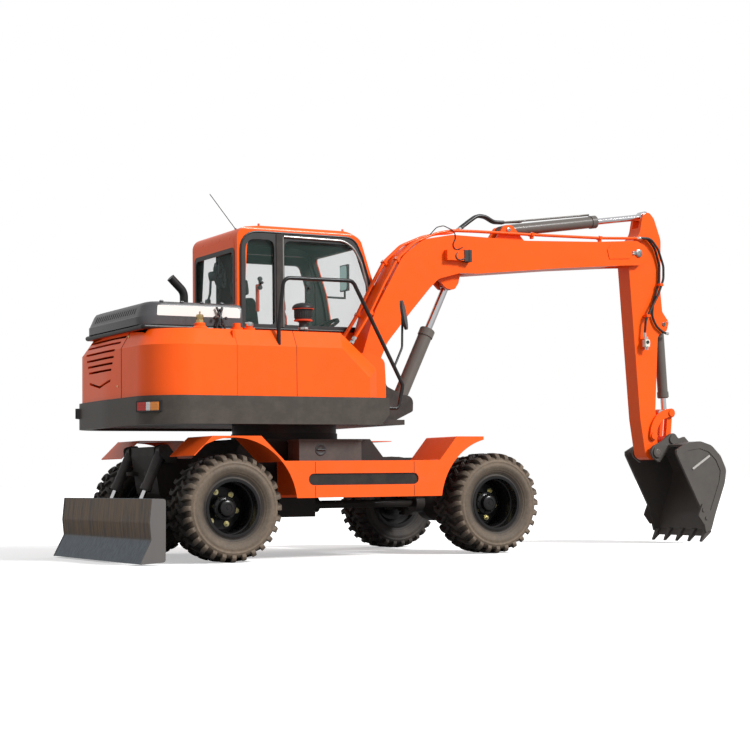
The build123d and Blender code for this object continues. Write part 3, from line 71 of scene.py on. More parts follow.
# Materials: a small class that adds nodes by name and turns arithmetic into Math nodes.
class Wire:
    """One value in a material, with arithmetic."""

    def __init__(self, surface, socket):
        self.surface = surface
        self.socket = socket

    def maths(self, operation, first, second=0.0, clamp=False):
        """The result of one Math node."""
        settings = {"operation": operation, "use_clamp": clamp}
        return self.surface.node("Math", settings, {0: first, 1: second})

    def __add__(self, other):
        return self.maths("ADD", self, other)

    def __radd__(self, other):
        return self.maths("ADD", other, self)

    def __sub__(self, other):
        return self.maths("SUBTRACT", self, other)

    def __rsub__(self, other):
        return self.maths("SUBTRACT", other, self)

    def __mul__(self, other):
        return self.maths("MULTIPLY", self, other)

    def __rmul__(self, other):
        return self.maths("MULTIPLY", other, self)

    def __truediv__(self, other):
        return self.maths("DIVIDE", self, other)

    def held(self):
        """The value kept between 0 and 1."""
        return self.maths("ADD", self, 0.0, clamp=True)

    def above(self, limit, width):
        """0 below the limit, rising to 1 over the width."""
        return self.maths("DIVIDE", self - limit, width, clamp=True)


class Surface:
    """A material on one Principled shader."""

    def __init__(self, name, **sockets):
        self.material = bpy.data.materials.new(name)
        self.material.use_nodes = True
        self.tree = self.material.node_tree
        self.shader = self.tree.nodes["Principled BSDF"]
        self.place = self.node("TexCoord", out="Object")
        for socket, value in sockets.items():
            self.set(socket.replace("_", " "), value)

    def node(self, kind, settings=None, sockets=None, out=0):
        """Adds a node and gives one of its outputs."""
        made = self.tree.nodes.new("ShaderNode" + kind)
        for key, value in (settings or {}).items():
            setattr(made, key, value)
        for key, value in (sockets or {}).items():
            self.feed(made.inputs[key], value)
        return Wire(self, made.outputs[out])

    def feed(self, socket, value):
        """Links or sets one socket."""
        if isinstance(value, Wire):
            self.tree.links.new(value.socket, socket)
        elif hasattr(value, "__len__") and len(value) == 3 and socket.type == "RGBA":
            socket.default_value = (*value, 1.0)
        else:
            socket.default_value = value

    def set(self, socket, value):
        """Sets a socket of the shader."""
        self.feed(self.shader.inputs[socket], value)

    def mix(self, factor, first, second):
        """A colour between two colours."""
        made = self.tree.nodes.new("ShaderNodeMix")
        made.data_type = "RGBA"
        self.feed(made.inputs[0], factor)
        self.feed(made.inputs[6], first)
        self.feed(made.inputs[7], second)
        return Wire(self, made.outputs[2])

    def noise(self, scale, detail=3.0, rough=0.5, stretch=(1, 1, 1)):
        """Noise on object coordinates, stretched along the axes."""
        place = self.node("Mapping", None, {"Vector": self.place, "Scale": stretch})
        sockets = {"Vector": place, "Scale": scale, "Detail": detail, "Roughness": rough}
        return self.node("TexNoise", None, sockets)

    def axes(self):
        """The place along X, Y and Z."""
        split = self.node("SeparateXYZ", None, {0: self.place})
        return [Wire(self, output) for output in split.socket.node.outputs]

    def height(self):
        """The height above the ground."""
        return self.axes()[2]

    def bump(self, height, strength, distance):
        """Raises the surface by a value."""
        sockets = {"Height": height, "Strength": strength, "Distance": distance}
        self.set("Normal", self.node("Bump", None, sockets))


def painted(name, colour, rough=0.3, dust=0.25, dust_colour=(0.30, 0.24, 0.19), lining=None,
            second=(0.016, 0.022, 0.019)):
    """Sprayed paint: slight clouding, orange peel, dust, and a second colour where the lining's mask is 1."""
    s = Surface(name, Coat_Weight=0.08, Coat_Roughness=0.08, Specular_IOR_Level=0.22)
    cloud = s.noise(2.3, 4.0, 0.6)
    patch = s.noise(9.0, 6.0, 0.7)
    darker = tuple(0.80 * c for c in colour)
    base = s.mix((cloud - 0.35) * 0.8, colour, darker)
    low = 1.0 - s.height().above(0.3, 1.6)
    dusty = ((patch.above(0.42, 0.4) * 0.6 + 0.4 * low) * dust).held()
    base = s.mix(dusty, base, dust_colour)
    gloss = dusty * 0.5 + rough + (patch - 0.5) * 0.06
    if lining:
        inside = lining(s)
        base = s.mix(inside, base, second)
        gloss = gloss + inside * 0.2
    s.set("Base Color", base)
    s.set("Roughness", gloss.held())
    s.bump(s.noise(140.0, 2.0), 0.02, 0.002)
    return s.material


def cab_inside(s):
    """1 on the cab's inner faces, which have a dark lining, and 0 on its painted outside."""
    place, y, z = s.axes()
    x = place - SHIFT
    sides = y.above(0.0065, 0.002) * (0.8955 - y).above(0.0, 0.002)
    eaves = (x + 3.150 - z).above(0.0, 0.002) * (y + 2.522 - z).above(0.0, 0.002)
    eaves = eaves * (3.430 - y - z).above(0.0, 0.002)
    back = (x + 0.6475).above(0.0, 0.002) * (2.575 - z).above(0.0, 0.002)
    lean = z.above(1.85, 0.327) * 0.055 + z.above(2.177, 0.365) * 0.120 + z.above(2.542, 0.07) * 0.125
    front = (0.622 - lean - x).above(0.0, 0.002)
    return sides * back * front * eaves


def ear_side(s):
    """1 on the boom's ears above the deck, which are orange, and 0 on the black deck."""
    place, across, height = s.axes()
    behind = 1.0 - (place - SHIFT).above(0.487, 0.002)
    return height.above(1.207, 0.002) * behind


def metal(name, colour, rough, streak=(1, 1, 1), grime=0.2):
    """Bare metal with fine streaks and a little grime."""
    s = Surface(name, Metallic=1.0)
    fine = s.noise(60.0, 4.0, 0.6, streak)
    dirt = s.noise(7.0, 5.0, 0.7).above(0.5, 0.3)
    dark = tuple(0.45 * c for c in colour)
    s.set("Base Color", s.mix(dirt * grime, colour, dark))
    s.set("Roughness", (fine * 0.12 + rough - 0.06 + dirt * grime * 0.3).held())
    s.bump(fine, 0.04, 0.001)
    return s.material


def moulded(name, colour, rough=0.5, grain=200.0):
    """Moulded plastic or hose rubber with a fine grain."""
    s = Surface(name)
    patch = s.noise(6.0, 4.0, 0.6)
    lighter = tuple(min(1.0, 1.5 * c + 0.01) for c in colour)
    s.set("Base Color", s.mix((patch - 0.3) * 0.7, colour, lighter))
    s.set("Roughness", (patch * 0.15 + rough - 0.07).held())
    s.bump(s.noise(grain, 2.0), 0.12, 0.001)
    return s.material


def rubber(name):
    """Tyre rubber: brown dust on the walls and the shoulders, black in the grooves."""
    s = Surface(name, Specular_IOR_Level=0.35)
    patch = s.noise(5.0, 6.0, 0.7)
    fine = s.noise(55.0, 5.0, 0.7)
    along, across, height = s.axes()
    wall = across.maths("ABSOLUTE", across).above(WHEEL_Y + 0.12, 0.06)
    near = along.maths("MINIMUM", along.maths("ABSOLUTE", along - (SHIFT + WHEEL_X)),
                       along.maths("ABSOLUTE", along - (SHIFT - WHEEL_X)))
    level = height - WHEEL_Z
    radius = near.maths("SQRT", near * near + level * level)
    rings = radius.maths("SINE", radius * 420.0)
    bead = 1.0 - radius.above(0.226, 0.022)
    band = radius.above(0.285, 0.03) * (1.0 - radius.above(0.335, 0.03))
    dust = ((wall * 0.62 + patch.above(0.45, 0.3) * 0.35 + band * wall * 0.25 - bead * 0.3)
            * (fine * 0.9 + 0.25)).held()
    s.set("Base Color", s.mix(dust, (0.024, 0.021, 0.019), (0.200, 0.148, 0.104)))
    s.set("Roughness", (0.58 + patch * 0.2).held())
    ridge = radius.above(0.232, 0.004) * (1.0 - radius.above(0.262, 0.004))
    steps = radius.above(0.272, 0.003) - radius.above(0.340, 0.003) * 0.8
    s.bump(fine * 0.5 + rings * ridge * 0.6 + steps, 0.35, 0.003)
    return s.material


def blade_steel(name):
    """Worn blade: brown rust film above the knee, blue-grey scraped steel below."""
    s = Surface(name)
    streaks = s.noise(9.0, 5.0, 0.65, (1.0, 3.5, 0.35))
    fine = s.noise(34.0, 5.0, 0.7, (1.0, 2.5, 0.25))
    low = 1.0 - s.height().above(0.165, 0.03)
    brown = s.mix(streaks.above(0.35, 0.35), (0.046, 0.036, 0.029), (0.175, 0.098, 0.036))
    blue = s.mix(fine.above(0.35, 0.3), (0.055, 0.068, 0.082), (0.16, 0.19, 0.22))
    place, across, height = s.axes()
    end = across.maths("ABSOLUTE", across).above(0.9325, 0.0005)
    behind = (place - (SHIFT - 1.700)).above(0.0, 0.004) * (1.0 - end)
    face = s.mix(low, brown, blue)
    # Painted highlight: above 0.466 m, along the blade's top edge, the colour is a lighter blue-grey.
    face = s.mix(height.above(0.466, 0.002), face, (0.13, 0.155, 0.18))
    face = s.mix(end, face, (0.100, 0.092, 0.088))
    s.set("Base Color", s.mix(behind, face, (0.020, 0.019, 0.019)))
    s.set("Metallic", ((low * 0.55 + 0.12) * (1.0 - end) * (1.0 - behind)).held())
    s.set("Roughness", (fine * 0.25 + 0.36).held())
    s.bump(fine, 0.15, 0.001)
    return s.material


def window_glass(name, tint, clear):
    """Window glass, faintly green, with a clear gloss."""
    s = Surface(name, Roughness=0.03, IOR=1.5)
    smear = s.noise(3.0, 5.0, 0.6).above(0.55, 0.3)
    s.set("Base Color", s.mix(smear * 0.4, tint, (0.3, 0.32, 0.3)))
    s.set("Alpha", (smear * 0.06 + clear).held())
    return s.material


def lens(name, colour):
    """Ribbed lamp lens."""
    s = Surface(name, Roughness=0.15, Coat_Weight=0.5)
    rib = s.node("TexWave", {"bands_direction": "Z"}, {"Vector": s.place, "Scale": 60.0})
    s.set("Base Color", s.mix(rib * 0.25, colour, tuple(0.6 * c for c in colour)))
    s.bump(rib, 0.2, 0.001)
    return s.material


def studio_floor(name):
    """White paper under the machine, which throws less light back up than it shows."""
    s = Surface(name, Roughness=0.9, Specular_IOR_Level=0.0, Emission_Strength=1.0)
    seen = s.node("LightPath", out="Is Camera Ray")
    s.set("Base Color", s.mix(seen, (0.34, 0.34, 0.34), (0.80, 0.80, 0.80)))
    s.set("Emission Color", s.mix(seen, (0.0, 0.0, 0.0), (0.42, 0.42, 0.42)))
    return s.material


ORANGE = (0.95, 0.104, 0.005)
UNDER_BLACK = (0.020, 0.018, 0.017)
# Each finish: its maker and the values that the maker takes.
FINISHES = {
    "orange_paint": (painted, dict(colour=ORANGE, rough=0.30, dust=0.04)),
    "chassis_orange": (painted, dict(colour=ORANGE, rough=0.34, dust=0.08)),
    "cab_paint": (painted, dict(colour=ORANGE, rough=0.28, dust=0.03, lining=cab_inside)),
    "deck_paint": (painted, dict(colour=UNDER_BLACK, rough=0.50, dust=0.20, lining=ear_side, second=ORANGE)),
    "skirt_paint": (painted, dict(colour=(0.046, 0.039, 0.033), rough=0.42, dust=0.18)),
    "under_paint": (painted, dict(colour=UNDER_BLACK, rough=0.55, dust=0.40,
                                  dust_colour=(0.07, 0.055, 0.045))),
    "under_ram": (painted, dict(colour=(0.022, 0.023, 0.028), rough=0.4)),
    "grey_box": (painted, dict(colour=(0.045, 0.046, 0.045), rough=0.5)),
    "rim_paint": (painted, dict(colour=(0.010, 0.010, 0.011), rough=0.22, dust=0.10,
                                dust_colour=(0.09, 0.07, 0.05))),
    "black_paint": (painted, dict(colour=(0.012, 0.012, 0.013), dust=0.12)),
    "hood_paint": (painted, dict(colour=(0.070, 0.070, 0.075), rough=0.26, dust=0.10)),
    "hood_panel": (painted, dict(colour=(0.66, 0.63, 0.60), dust=0.12)),
    "bucket_paint": (painted, dict(colour=(0.074, 0.067, 0.062), rough=0.42, dust=0.30,
                                   dust_colour=(0.15, 0.13, 0.11))),
    "ram_paint": (painted, dict(colour=(0.120, 0.108, 0.098), dust=0.15)),
    "post_paint": (painted, dict(colour=(0.035, 0.032, 0.030), rough=0.32, dust=0.15)),
    "cream_paint": (painted, dict(colour=(0.72, 0.71, 0.62), rough=0.40, dust=0.15)),
    "weld_pale": (painted, dict(colour=(0.42, 0.40, 0.38), rough=0.45, dust=0.20)),
    "blade_steel": (blade_steel, {}),
    "chrome": (metal, dict(colour=(0.82, 0.82, 0.84), rough=0.10, grime=0.1)),
    "zinc": (metal, dict(colour=(0.86, 0.78, 0.42), rough=0.30)),
    "pin_steel": (metal, dict(colour=(0.30, 0.30, 0.30), rough=0.35)),
    "brass": (metal, dict(colour=(0.62, 0.44, 0.20), rough=0.28)),
    "aluminium": (metal, dict(colour=(0.42, 0.40, 0.38), rough=0.30, streak=(1.0, 1.0, 6.0))),
    "fitting_steel": (metal, dict(colour=(0.70, 0.70, 0.68), rough=0.28)),
    "mirror_glass": (metal, dict(colour=(0.50, 0.70, 0.66), rough=0.06, grime=0.05)),
    "tyre_rubber": (rubber, {}),
    "hose_rubber": (moulded, dict(colour=(0.012, 0.012, 0.012), rough=0.38, grain=240.0)),
    "seal_rubber": (moulded, dict(colour=(0.010, 0.010, 0.010), rough=0.42, grain=160.0)),
    "black_plastic": (moulded, dict(colour=(0.014, 0.014, 0.014), rough=0.45)),
    "fan_plastic": (moulded, dict(colour=(0.045, 0.095, 0.095), rough=0.4)),
    "red_plastic": (moulded, dict(colour=(0.55, 0.060, 0.020), rough=0.4)),
    "seam_dark": (moulded, dict(colour=(0.060, 0.012, 0.006), rough=0.7)),
    "cab_trim": (moulded, dict(colour=(0.030, 0.036, 0.034), rough=0.6, grain=90.0)),
    "seat_cloth": (moulded, dict(colour=(0.035, 0.040, 0.040), rough=0.8, grain=420.0)),
    "window_glass": (window_glass, dict(tint=(0.10, 0.17, 0.15), clear=0.10)),
    "lens_red": (lens, dict(colour=(0.55, 0.03, 0.02))),
    "lens_clear": (lens, dict(colour=(0.75, 0.75, 0.74))),
    "lens_amber": (lens, dict(colour=(0.90, 0.30, 0.04))),
    "floor_white": (studio_floor, {}),
}
made_finishes = {}


def finish_of(name):
    """A finish's material, made once, with the orange of the settings."""
    if name not in made_finishes:
        maker, values = FINISHES[name]
        orange = tuple(bpy.context.scene.excavator_paint.orange)
        values = {key: orange if value == ORANGE else value for key, value in values.items()}
        made_finishes[name] = maker(name, **values)
    return made_finishes[name]


# Which finish each node of the frame has.
NODE_FINISH = {
    "deck_paint": ("turntable",),
    "orange_paint": ("engine_bay", "right_body", "boom", "arm", "rocker", "link"),
    "cab_paint": ("cab_shell", "cab_door"),
    "chassis_orange": ("side_fender_left", "side_fender_right"),
    "under_paint": ("chassis_frame", "axle_housings", "transmission", "slew_ring_lower",
                    "knuckle_left", "knuckle_right"),
    "skirt_paint": ("tail_skirt",),
    "grey_box": ("tool_box", "engine_block"),
    "hood_paint": ("engine_hood",),
    "black_paint": ("exhaust_stack", "hand_rail"),
    "black_plastic": ("air_cleaner", "mirror_left", "mirror_right", "boom_lamp", "tail_lamps"),
    "cab_trim": ("controls",),
    "seat_cloth": ("seat",),
    "window_glass": ("cab_glass", "door_glass"),
    "bucket_paint": ("bucket", "bucket_teeth"),
    "blade_steel": ("dozer_blade",),
    "ram_paint": ("boom_ram_barrel", "arm_ram_barrel", "bucket_ram_barrel"),
    "under_ram": ("blade_ram_barrel_left", "blade_ram_barrel_right"),
    "chrome": ("boom_ram_rod", "arm_ram_rod", "bucket_ram_rod", "blade_ram_rod_left", "blade_ram_rod_right"),
}
for end in ("front", "rear"):
    for side in ("left", "right"):
        NODE_FINISH.setdefault("tyre_rubber", []).append(f"tyre_{end}_{side}")
        NODE_FINISH.setdefault("rim_paint", []).extend((f"rim_{end}_{side}", f"hub_{end}_{side}"))


# Shapes: each Shape gathers primitives for one piece of the machine.
class Shape:
    """Solids gathered in one mesh."""

    def __init__(self):
        self.bm = bmesh.new()

    def gather(self, part):
        """Takes in the faces of a bmesh, which is freed."""
        held = bpy.data.meshes.new("part")
        part.to_mesh(held)
        part.free()
        self.bm.from_mesh(held)
        bpy.data.meshes.remove(held)
        return self

    def add(self, points, faces, bevel=0.0, segments=2):
        """Adds a closed solid, with its sharp edges rounded."""
        part = bmesh.new()
        verts = [part.verts.new(p) for p in points]
        for face in faces:
            part.faces.new([verts[i] for i in face])
        bmesh.ops.recalc_face_normals(part, faces=part.faces)
        if bevel:
            sharp = [e for e in part.edges if len(e.link_faces) == 2 and e.calc_face_angle(0) > 0.6]
            bmesh.ops.bevel(part, geom=sharp, offset=bevel, segments=segments, affect="EDGES",
                            clamp_overlap=True)
        return self.gather(part)

    def block(self, low, high, bevel=0.0, turn=None):
        """A block between two corners, turned by a matrix about its middle."""
        a, b = Vector(low), Vector(high)
        middle = (a + b) / 2
        points = []
        for x in (a.x, b.x):
            for y in (a.y, b.y):
                for z in (a.z, b.z):
                    p = Vector((x, y, z)) - middle
                    points.append(middle + (turn @ p if turn else p))
        faces = [(0, 1, 3, 2), (4, 6, 7, 5), (0, 4, 5, 1), (2, 3, 7, 6), (0, 2, 6, 4), (1, 5, 7, 3)]
        return self.add(points, faces, bevel)

    def cushion(self, low, high, thin, turn=None):
        """A padded block: round edges, crowned along the thin axis, its sides pulled in between corners."""
        a, b = Vector(low), Vector(high)
        middle, half = (a + b) / 2, (b - a) / 2
        one, two = [k for k in range(3) if k != thin]
        part = bmesh.new()
        bmesh.ops.create_cube(part, size=2.0)
        bmesh.ops.subdivide_edges(part, edges=part.edges, cuts=13, use_grid_fill=True)
        for vert in part.verts:
            q = vert.co / sum(abs(c) ** 6 for c in vert.co) ** (1 / 6)
            flat_one, flat_two = 1 - q[one] ** 2, 1 - q[two] ** 2
            q[thin] *= 0.78 + 0.22 * flat_one * flat_two
            q[one] *= 1 - 0.035 * flat_two
            q[two] *= 1 - 0.035 * flat_one
            p = Vector((half.x * q.x, half.y * q.y, half.z * q.z))
            vert.co = middle + (turn @ p if turn else p)
        return self.gather(part)

    def prism(self, outline, axis, low, high, bevel=0.0, segments=2):
        """A plate whose outline lies across an axis: rows of the two other coordinates in order."""
        count = len(outline)
        points = []
        for level in (low, high):
            for a, b in outline:
                points.append({"x": (level, a, b), "y": (a, level, b), "z": (a, b, level)}[axis])
        faces = [tuple(range(count)), tuple(range(2 * count - 1, count - 1, -1))]
        for i in range(count):
            j = (i + 1) % count
            faces.append((i, j, j + count, i + count))
        return self.add(points, faces, bevel, segments)

    def minus(self, other):
        """Cuts the solids of another shape away."""
        made = []
        for shape in (self, other):
            mesh = bpy.data.meshes.new("cut")
            shape.bm.to_mesh(mesh)
            shape.bm.free()
            made.append(bpy.data.objects.new("cut", mesh))
            bpy.context.scene.collection.objects.link(made[-1])
        cut = made[0].modifiers.new("cut", "BOOLEAN")
        cut.operation = "DIFFERENCE"
        cut.solver = "EXACT"
        cut.object = made[1]
        mesh = bpy.data.meshes.new_from_object(made[0].evaluated_get(bpy.context.evaluated_depsgraph_get()))
        self.bm = bmesh.new()
        self.bm.from_mesh(mesh)
        bpy.data.meshes.remove(mesh)
        for piece in made:
            held = piece.data
            bpy.data.objects.remove(piece)
            bpy.data.meshes.remove(held)
        return self

    def sheet(self, loops, axis, low, high):
        """A flat plate with holes: the first loop is its rim, and rows are two coordinates and a radius."""
        curve = bpy.data.curves.new("sheet", "CURVE")
        curve.dimensions = "2D"
        curve.fill_mode = "BOTH"
        curve.extrude = (high - low) / 2
        for loop in loops:
            line = corners(loop)
            spline = curve.splines.new("POLY")
            spline.points.add(len(line) - 1)
            for point, (a, b) in zip(spline.points, line):
                point.co = (a, b, 0.0, 1.0)
            spline.use_cyclic_u = True
        holder = bpy.data.objects.new("sheet", curve)
        bpy.context.scene.collection.objects.link(holder)
        mesh = bpy.data.meshes.new_from_object(holder.evaluated_get(bpy.context.evaluated_depsgraph_get()))
        bpy.data.objects.remove(holder)
        middle = (low + high) / 2
        lay = {
            "x": Matrix(((0, 0, 1, middle), (1, 0, 0, 0), (0, 1, 0, 0), (0, 0, 0, 1))),
            "y": Matrix(((1, 0, 0, 0), (0, 0, -1, middle), (0, 1, 0, 0), (0, 0, 0, 1))),
            "z": Matrix.Translation((0, 0, middle)),
        }[axis]
        mesh.transform(lay)
        part = bmesh.new()
        part.from_mesh(mesh)
        bmesh.ops.remove_doubles(part, verts=part.verts, dist=1e-6)
        bmesh.ops.recalc_face_normals(part, faces=part.faces)
        part.to_mesh(mesh)
        part.free()
        self.bm.from_mesh(mesh)
        bpy.data.meshes.remove(mesh)
        return self

    def lathe(self, rows, centre, axis=(0, 1, 0), sides=48):
        """A turned solid: rows of radius and distance along the axis from the centre."""
        lie = Vector(axis).to_track_quat("Z", "X").to_matrix()
        points = []
        for k in range(sides):
            angle = 2 * pi * k / sides
            for radius, along in rows:
                p = Vector((radius * cos(angle), radius * sin(angle), along))
                points.append(Vector(centre) + lie @ p)
        faces = []
        count = len(rows)
        for k in range(sides):
            n = (k + 1) % sides
            for i in range(count):
                j = (i + 1) % count
                if rows[i][0] < 1e-6 and rows[j][0] < 1e-6:
                    continue
                faces.append((k * count + i, k * count + j, n * count + j, n * count + i))
        part = bmesh.new()
        verts = [part.verts.new(p) for p in points]
        for face in faces:
            part.faces.new([verts[i] for i in face])
        bmesh.ops.remove_doubles(part, verts=part.verts, dist=1e-6)
        bmesh.ops.recalc_face_normals(part, faces=part.faces)
        return self.gather(part)

    def rod(self, start, end, radius, sides=24, chamfer=0.0):
        """A round bar between two points."""
        a, b = Vector(start), Vector(end)
        length = (b - a).length
        c = chamfer
        rows = [(0, 0), (radius - c, 0), (radius, c), (radius, length - c), (radius - c, length), (0, length)]
        if not c:
            rows = [(0, 0), (radius, 0), (radius, length), (0, length)]
        return self.lathe(rows, a, b - a, sides)

    def pipe(self, points, bend, radius, sides=14):
        """A round pipe through the points, with its corners bent."""
        path = rounded(points, bend)
        rings = []
        side = None
        for i, p in enumerate(path):
            ahead = path[min(i + 1, len(path) - 1)] - path[max(i - 1, 0)]
            ahead.normalize()
            if side is None:
                side = ahead.orthogonal().normalized()
            side = (side - ahead * side.dot(ahead)).normalized()
            across = ahead.cross(side)
            ring = []
            for k in range(sides):
                angle = 2 * pi * k / sides
                ring.append(p + radius * (cos(angle) * side + sin(angle) * across))
            rings.append(ring)
        flat = [p for ring in rings for p in ring]
        faces = [tuple(range(sides)), tuple(range(len(flat) - 1, len(flat) - sides - 1, -1))]
        for i in range(len(rings) - 1):
            for k in range(sides):
                n = (k + 1) % sides
                faces.append((i * sides + k, i * sides + n, (i + 1) * sides + n, (i + 1) * sides + k))
        return self.add(flat, faces)

    def piece(self, name, finish, smooth=38):
        """Makes the object, shifted to the frame."""
        mesh = bpy.data.meshes.new(name)
        self.bm.to_mesh(mesh)
        self.bm.free()
        mesh.transform(Matrix.Translation((SHIFT, 0, 0)))
        mesh.shade_smooth()
        mesh.set_sharp_from_angle(angle=radians(smooth))
        made = bpy.data.objects.new(name, mesh)
        bpy.context.scene.collection.objects.link(made)
        mesh.materials.clear()
        mesh.materials.append(finish_of(finish))
        return made

    def done(self, name, body, finish, replaces=(), slot=None, smooth=38):
        """Makes the object and lets it ride on its body."""
        made = self.piece(name, finish, smooth)
        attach(made, body)
        if replaces:
            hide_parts(*replaces)
        return made


def plate(a_low, a_high, b_low, b_high, radius):
    """The outline of a rectangle with round corners, as a sheet's loop."""
    places = ((a_low, b_low), (a_high, b_low), (a_high, b_high), (a_low, b_high))
    return [(a, b, radius) for a, b in places]


def corners(loop):
    """A closed outline whose corners are arcs: rows of two coordinates and the corner's radius."""
    flat = [Vector((a, b)) for a, b, r in loop]
    made = []
    for i, (a, b, radius) in enumerate(loop):
        back, here, on = flat[i - 1], flat[i], flat[(i + 1) % len(flat)]
        one, two = (back - here), (on - here)
        turn = pi - one.angle(two)
        if radius <= 0 or turn < 0.02:
            made.append(here)
            continue
        reach = min(radius * tan(turn / 2), 0.49 * one.length, 0.49 * two.length)
        start, end = here + reach * one.normalized(), here + reach * two.normalized()
        for k in range(7):
            t = k / 6
            made.append(start * (1 - t) ** 2 + 2 * t * (1 - t) * here + end * t ** 2)
    return made


def rounded(points, bend):
    """The points of a line whose corners are arcs of about the bend's radius."""
    line = [Vector(p) for p in points]
    path = [line[0]]
    for before, corner, after in zip(line, line[1:], line[2:]):
        a, b = (before - corner), (after - corner)
        turn = pi - a.angle(b)
        if turn < 0.02:
            path.append(corner)
            continue
        reach = min(bend * tan(turn / 2), 0.49 * a.length, 0.49 * b.length)
        radius = reach / tan(turn / 2)
        start, end = corner + reach * a.normalized(), corner + reach * b.normalized()
        middle = corner + (a.normalized() + b.normalized()).normalized() * (radius / cos(turn / 2))
        steps = max(3, int(turn / 0.2))
        first, last = start - middle, end - middle
        for k in range(steps + 1):
            path.append(middle + radius * first.normalized().slerp(last.normalized(), k / steps))
    path.append(line[-1])
    return path


# Geometry Nodes: copies of one shape round a circle or along a line.
class Tree:
    """A Geometry Nodes tree with named inputs."""

    def __init__(self, name, inputs):
        self.group = bpy.data.node_groups.new(name, "GeometryNodeTree")
        face = self.group.interface
        for label, kind in inputs:
            face.new_socket(label, in_out="INPUT", socket_type="NodeSocket" + kind)
        face.new_socket("Geometry", in_out="OUTPUT", socket_type="NodeSocketGeometry")
        self.source = self.group.nodes.new("NodeGroupInput")
        self.end = self.group.nodes.new("NodeGroupOutput")

    def node(self, kind, settings=None, sockets=None):
        """Adds a node, its settings first, then its sockets' values or links."""
        made = self.group.nodes.new(kind)
        for key, value in (settings or {}).items():
            setattr(made, key, value)
        for key, value in (sockets or {}).items():
            if isinstance(value, bpy.types.NodeSocket):
                self.group.links.new(value, made.inputs[key])
            else:
                made.inputs[key].default_value = value
        return made

    def given(self, label):
        """One of the tree's inputs."""
        return self.source.outputs[label]

    def close(self, geometry):
        """Ends the tree with real geometry and its material."""
        real = self.node("GeometryNodeRealizeInstances", None, {"Geometry": geometry})
        sockets = {"Geometry": real.outputs[0], "Material": self.given("Material")}
        painted_mesh = self.node("GeometryNodeSetMaterial", None, sockets)
        self.group.links.new(painted_mesh.outputs[0], self.end.inputs[0])
        return self.group


def ring_tree():
    """Copies of a shape round the Y axis, moved to a centre."""
    t = Tree("ring_of_copies", [
        ("Shape", "Object"), ("Count", "Int"),
        ("Phase", "Float"), ("Centre", "Vector"), ("Material", "Material")])
    points = t.node("GeometryNodeMeshLine", {"mode": "OFFSET"}, {
        "Count": t.given("Count"), "Start Location": (0, 0, 0), "Offset": (0, 0, 0)})
    index = t.node("GeometryNodeInputIndex")
    share = t.node("ShaderNodeMath", {"operation": "DIVIDE"}, {0: index.outputs[0], 1: t.given("Count")})
    whole = t.node("ShaderNodeMath", {"operation": "MULTIPLY_ADD"}, {
        0: share.outputs[0], 1: 2 * pi, 2: t.given("Phase")})
    turn = t.node("ShaderNodeCombineXYZ", None, {"Y": whole.outputs[0]})
    shape = t.node("GeometryNodeObjectInfo", None, {"Object": t.given("Shape")})
    copies = t.node("GeometryNodeInstanceOnPoints", None, {
        "Points": points.outputs[0], "Instance": shape.outputs["Geometry"], "Rotation": turn.outputs[0]})
    moved = t.node("GeometryNodeTransform", None, {
        "Geometry": copies.outputs[0], "Translation": t.given("Centre")})
    return t.close(moved.outputs[0])


def row_tree():
    """Copies of a shape along a line."""
    t = Tree("row_of_copies", [
        ("Shape", "Object"), ("Count", "Int"),
        ("Start", "Vector"), ("Step", "Vector"), ("Material", "Material")])
    points = t.node("GeometryNodeMeshLine", {"mode": "OFFSET"}, {
        "Count": t.given("Count"), "Start Location": t.given("Start"), "Offset": t.given("Step")})
    shape = t.node("GeometryNodeObjectInfo", None, {"Object": t.given("Shape")})
    copies = t.node("GeometryNodeInstanceOnPoints", None, {
        "Points": points.outputs[0], "Instance": shape.outputs["Geometry"]})
    return t.close(copies.outputs[0])


trees = {}


def copies(kind, shape, finish, **inputs):
    """The mesh of a shape's copies, grown by the ring's or the row's tree."""
    if kind not in trees:
        trees[kind] = ring_tree() if kind == "ring" else row_tree()
    seed_mesh = bpy.data.meshes.new("seed")
    shape.bm.to_mesh(seed_mesh)
    shape.bm.free()
    seed = bpy.data.objects.new("seed", seed_mesh)
    host = bpy.data.objects.new("host", bpy.data.meshes.new("host"))
    for thing in (seed, host):
        bpy.context.scene.collection.objects.link(thing)
    modifier = host.modifiers.new("copies", "NODES")
    modifier.node_group = trees[kind]
    values = {"Shape": seed, "Material": finish_of(finish), **inputs}
    for item in trees[kind].interface.items_tree:
        if item.in_out == "INPUT" and item.name in values:
            modifier[item.identifier] = values[item.name]
    evaluated = host.evaluated_get(bpy.context.evaluated_depsgraph_get())
    mesh = bpy.data.meshes.new_from_object(evaluated)
    for thing in (seed, host):
        bpy.data.objects.remove(thing)
    return mesh


# Settings that a user may change.
class PaintSettings(bpy.types.PropertyGroup):
    """Colours of the machine."""

    orange: FloatVectorProperty(
        name="Orange", description="Paint of the body, boom and fenders", subtype="COLOR",
        default=ORANGE, min=0.0, max=1.0)


class WheelSettings(bpy.types.PropertyGroup):
    """Sizes of the wheels."""

    lugs: IntProperty(name="Lugs", description="Lugs in each row of a tyre", default=28, min=12, max=48)
    lug_height: FloatProperty(
        name="Lug Height", description="Height of the lugs above the carcass", default=0.026,
        min=0.01, max=0.04, unit="LENGTH", subtype="DISTANCE")
    nuts: IntProperty(name="Nuts", description="Nuts on each wheel", default=6, min=4, max=12)


class HoodSettings(bpy.types.PropertyGroup):
    """Openings of the hood."""

    slots: IntProperty(name="Slots", description="Slots in the hood's rear face", default=19, min=3, max=25)


WHEELS = [(end, side, sx * WHEEL_X, sy) for end, sx in (("front", 1), ("rear", -1))
          for side, sy in (("left", 1), ("right", -1))]
TYRE_RADIUS = 0.3915
TYRE_HALF = 0.1865


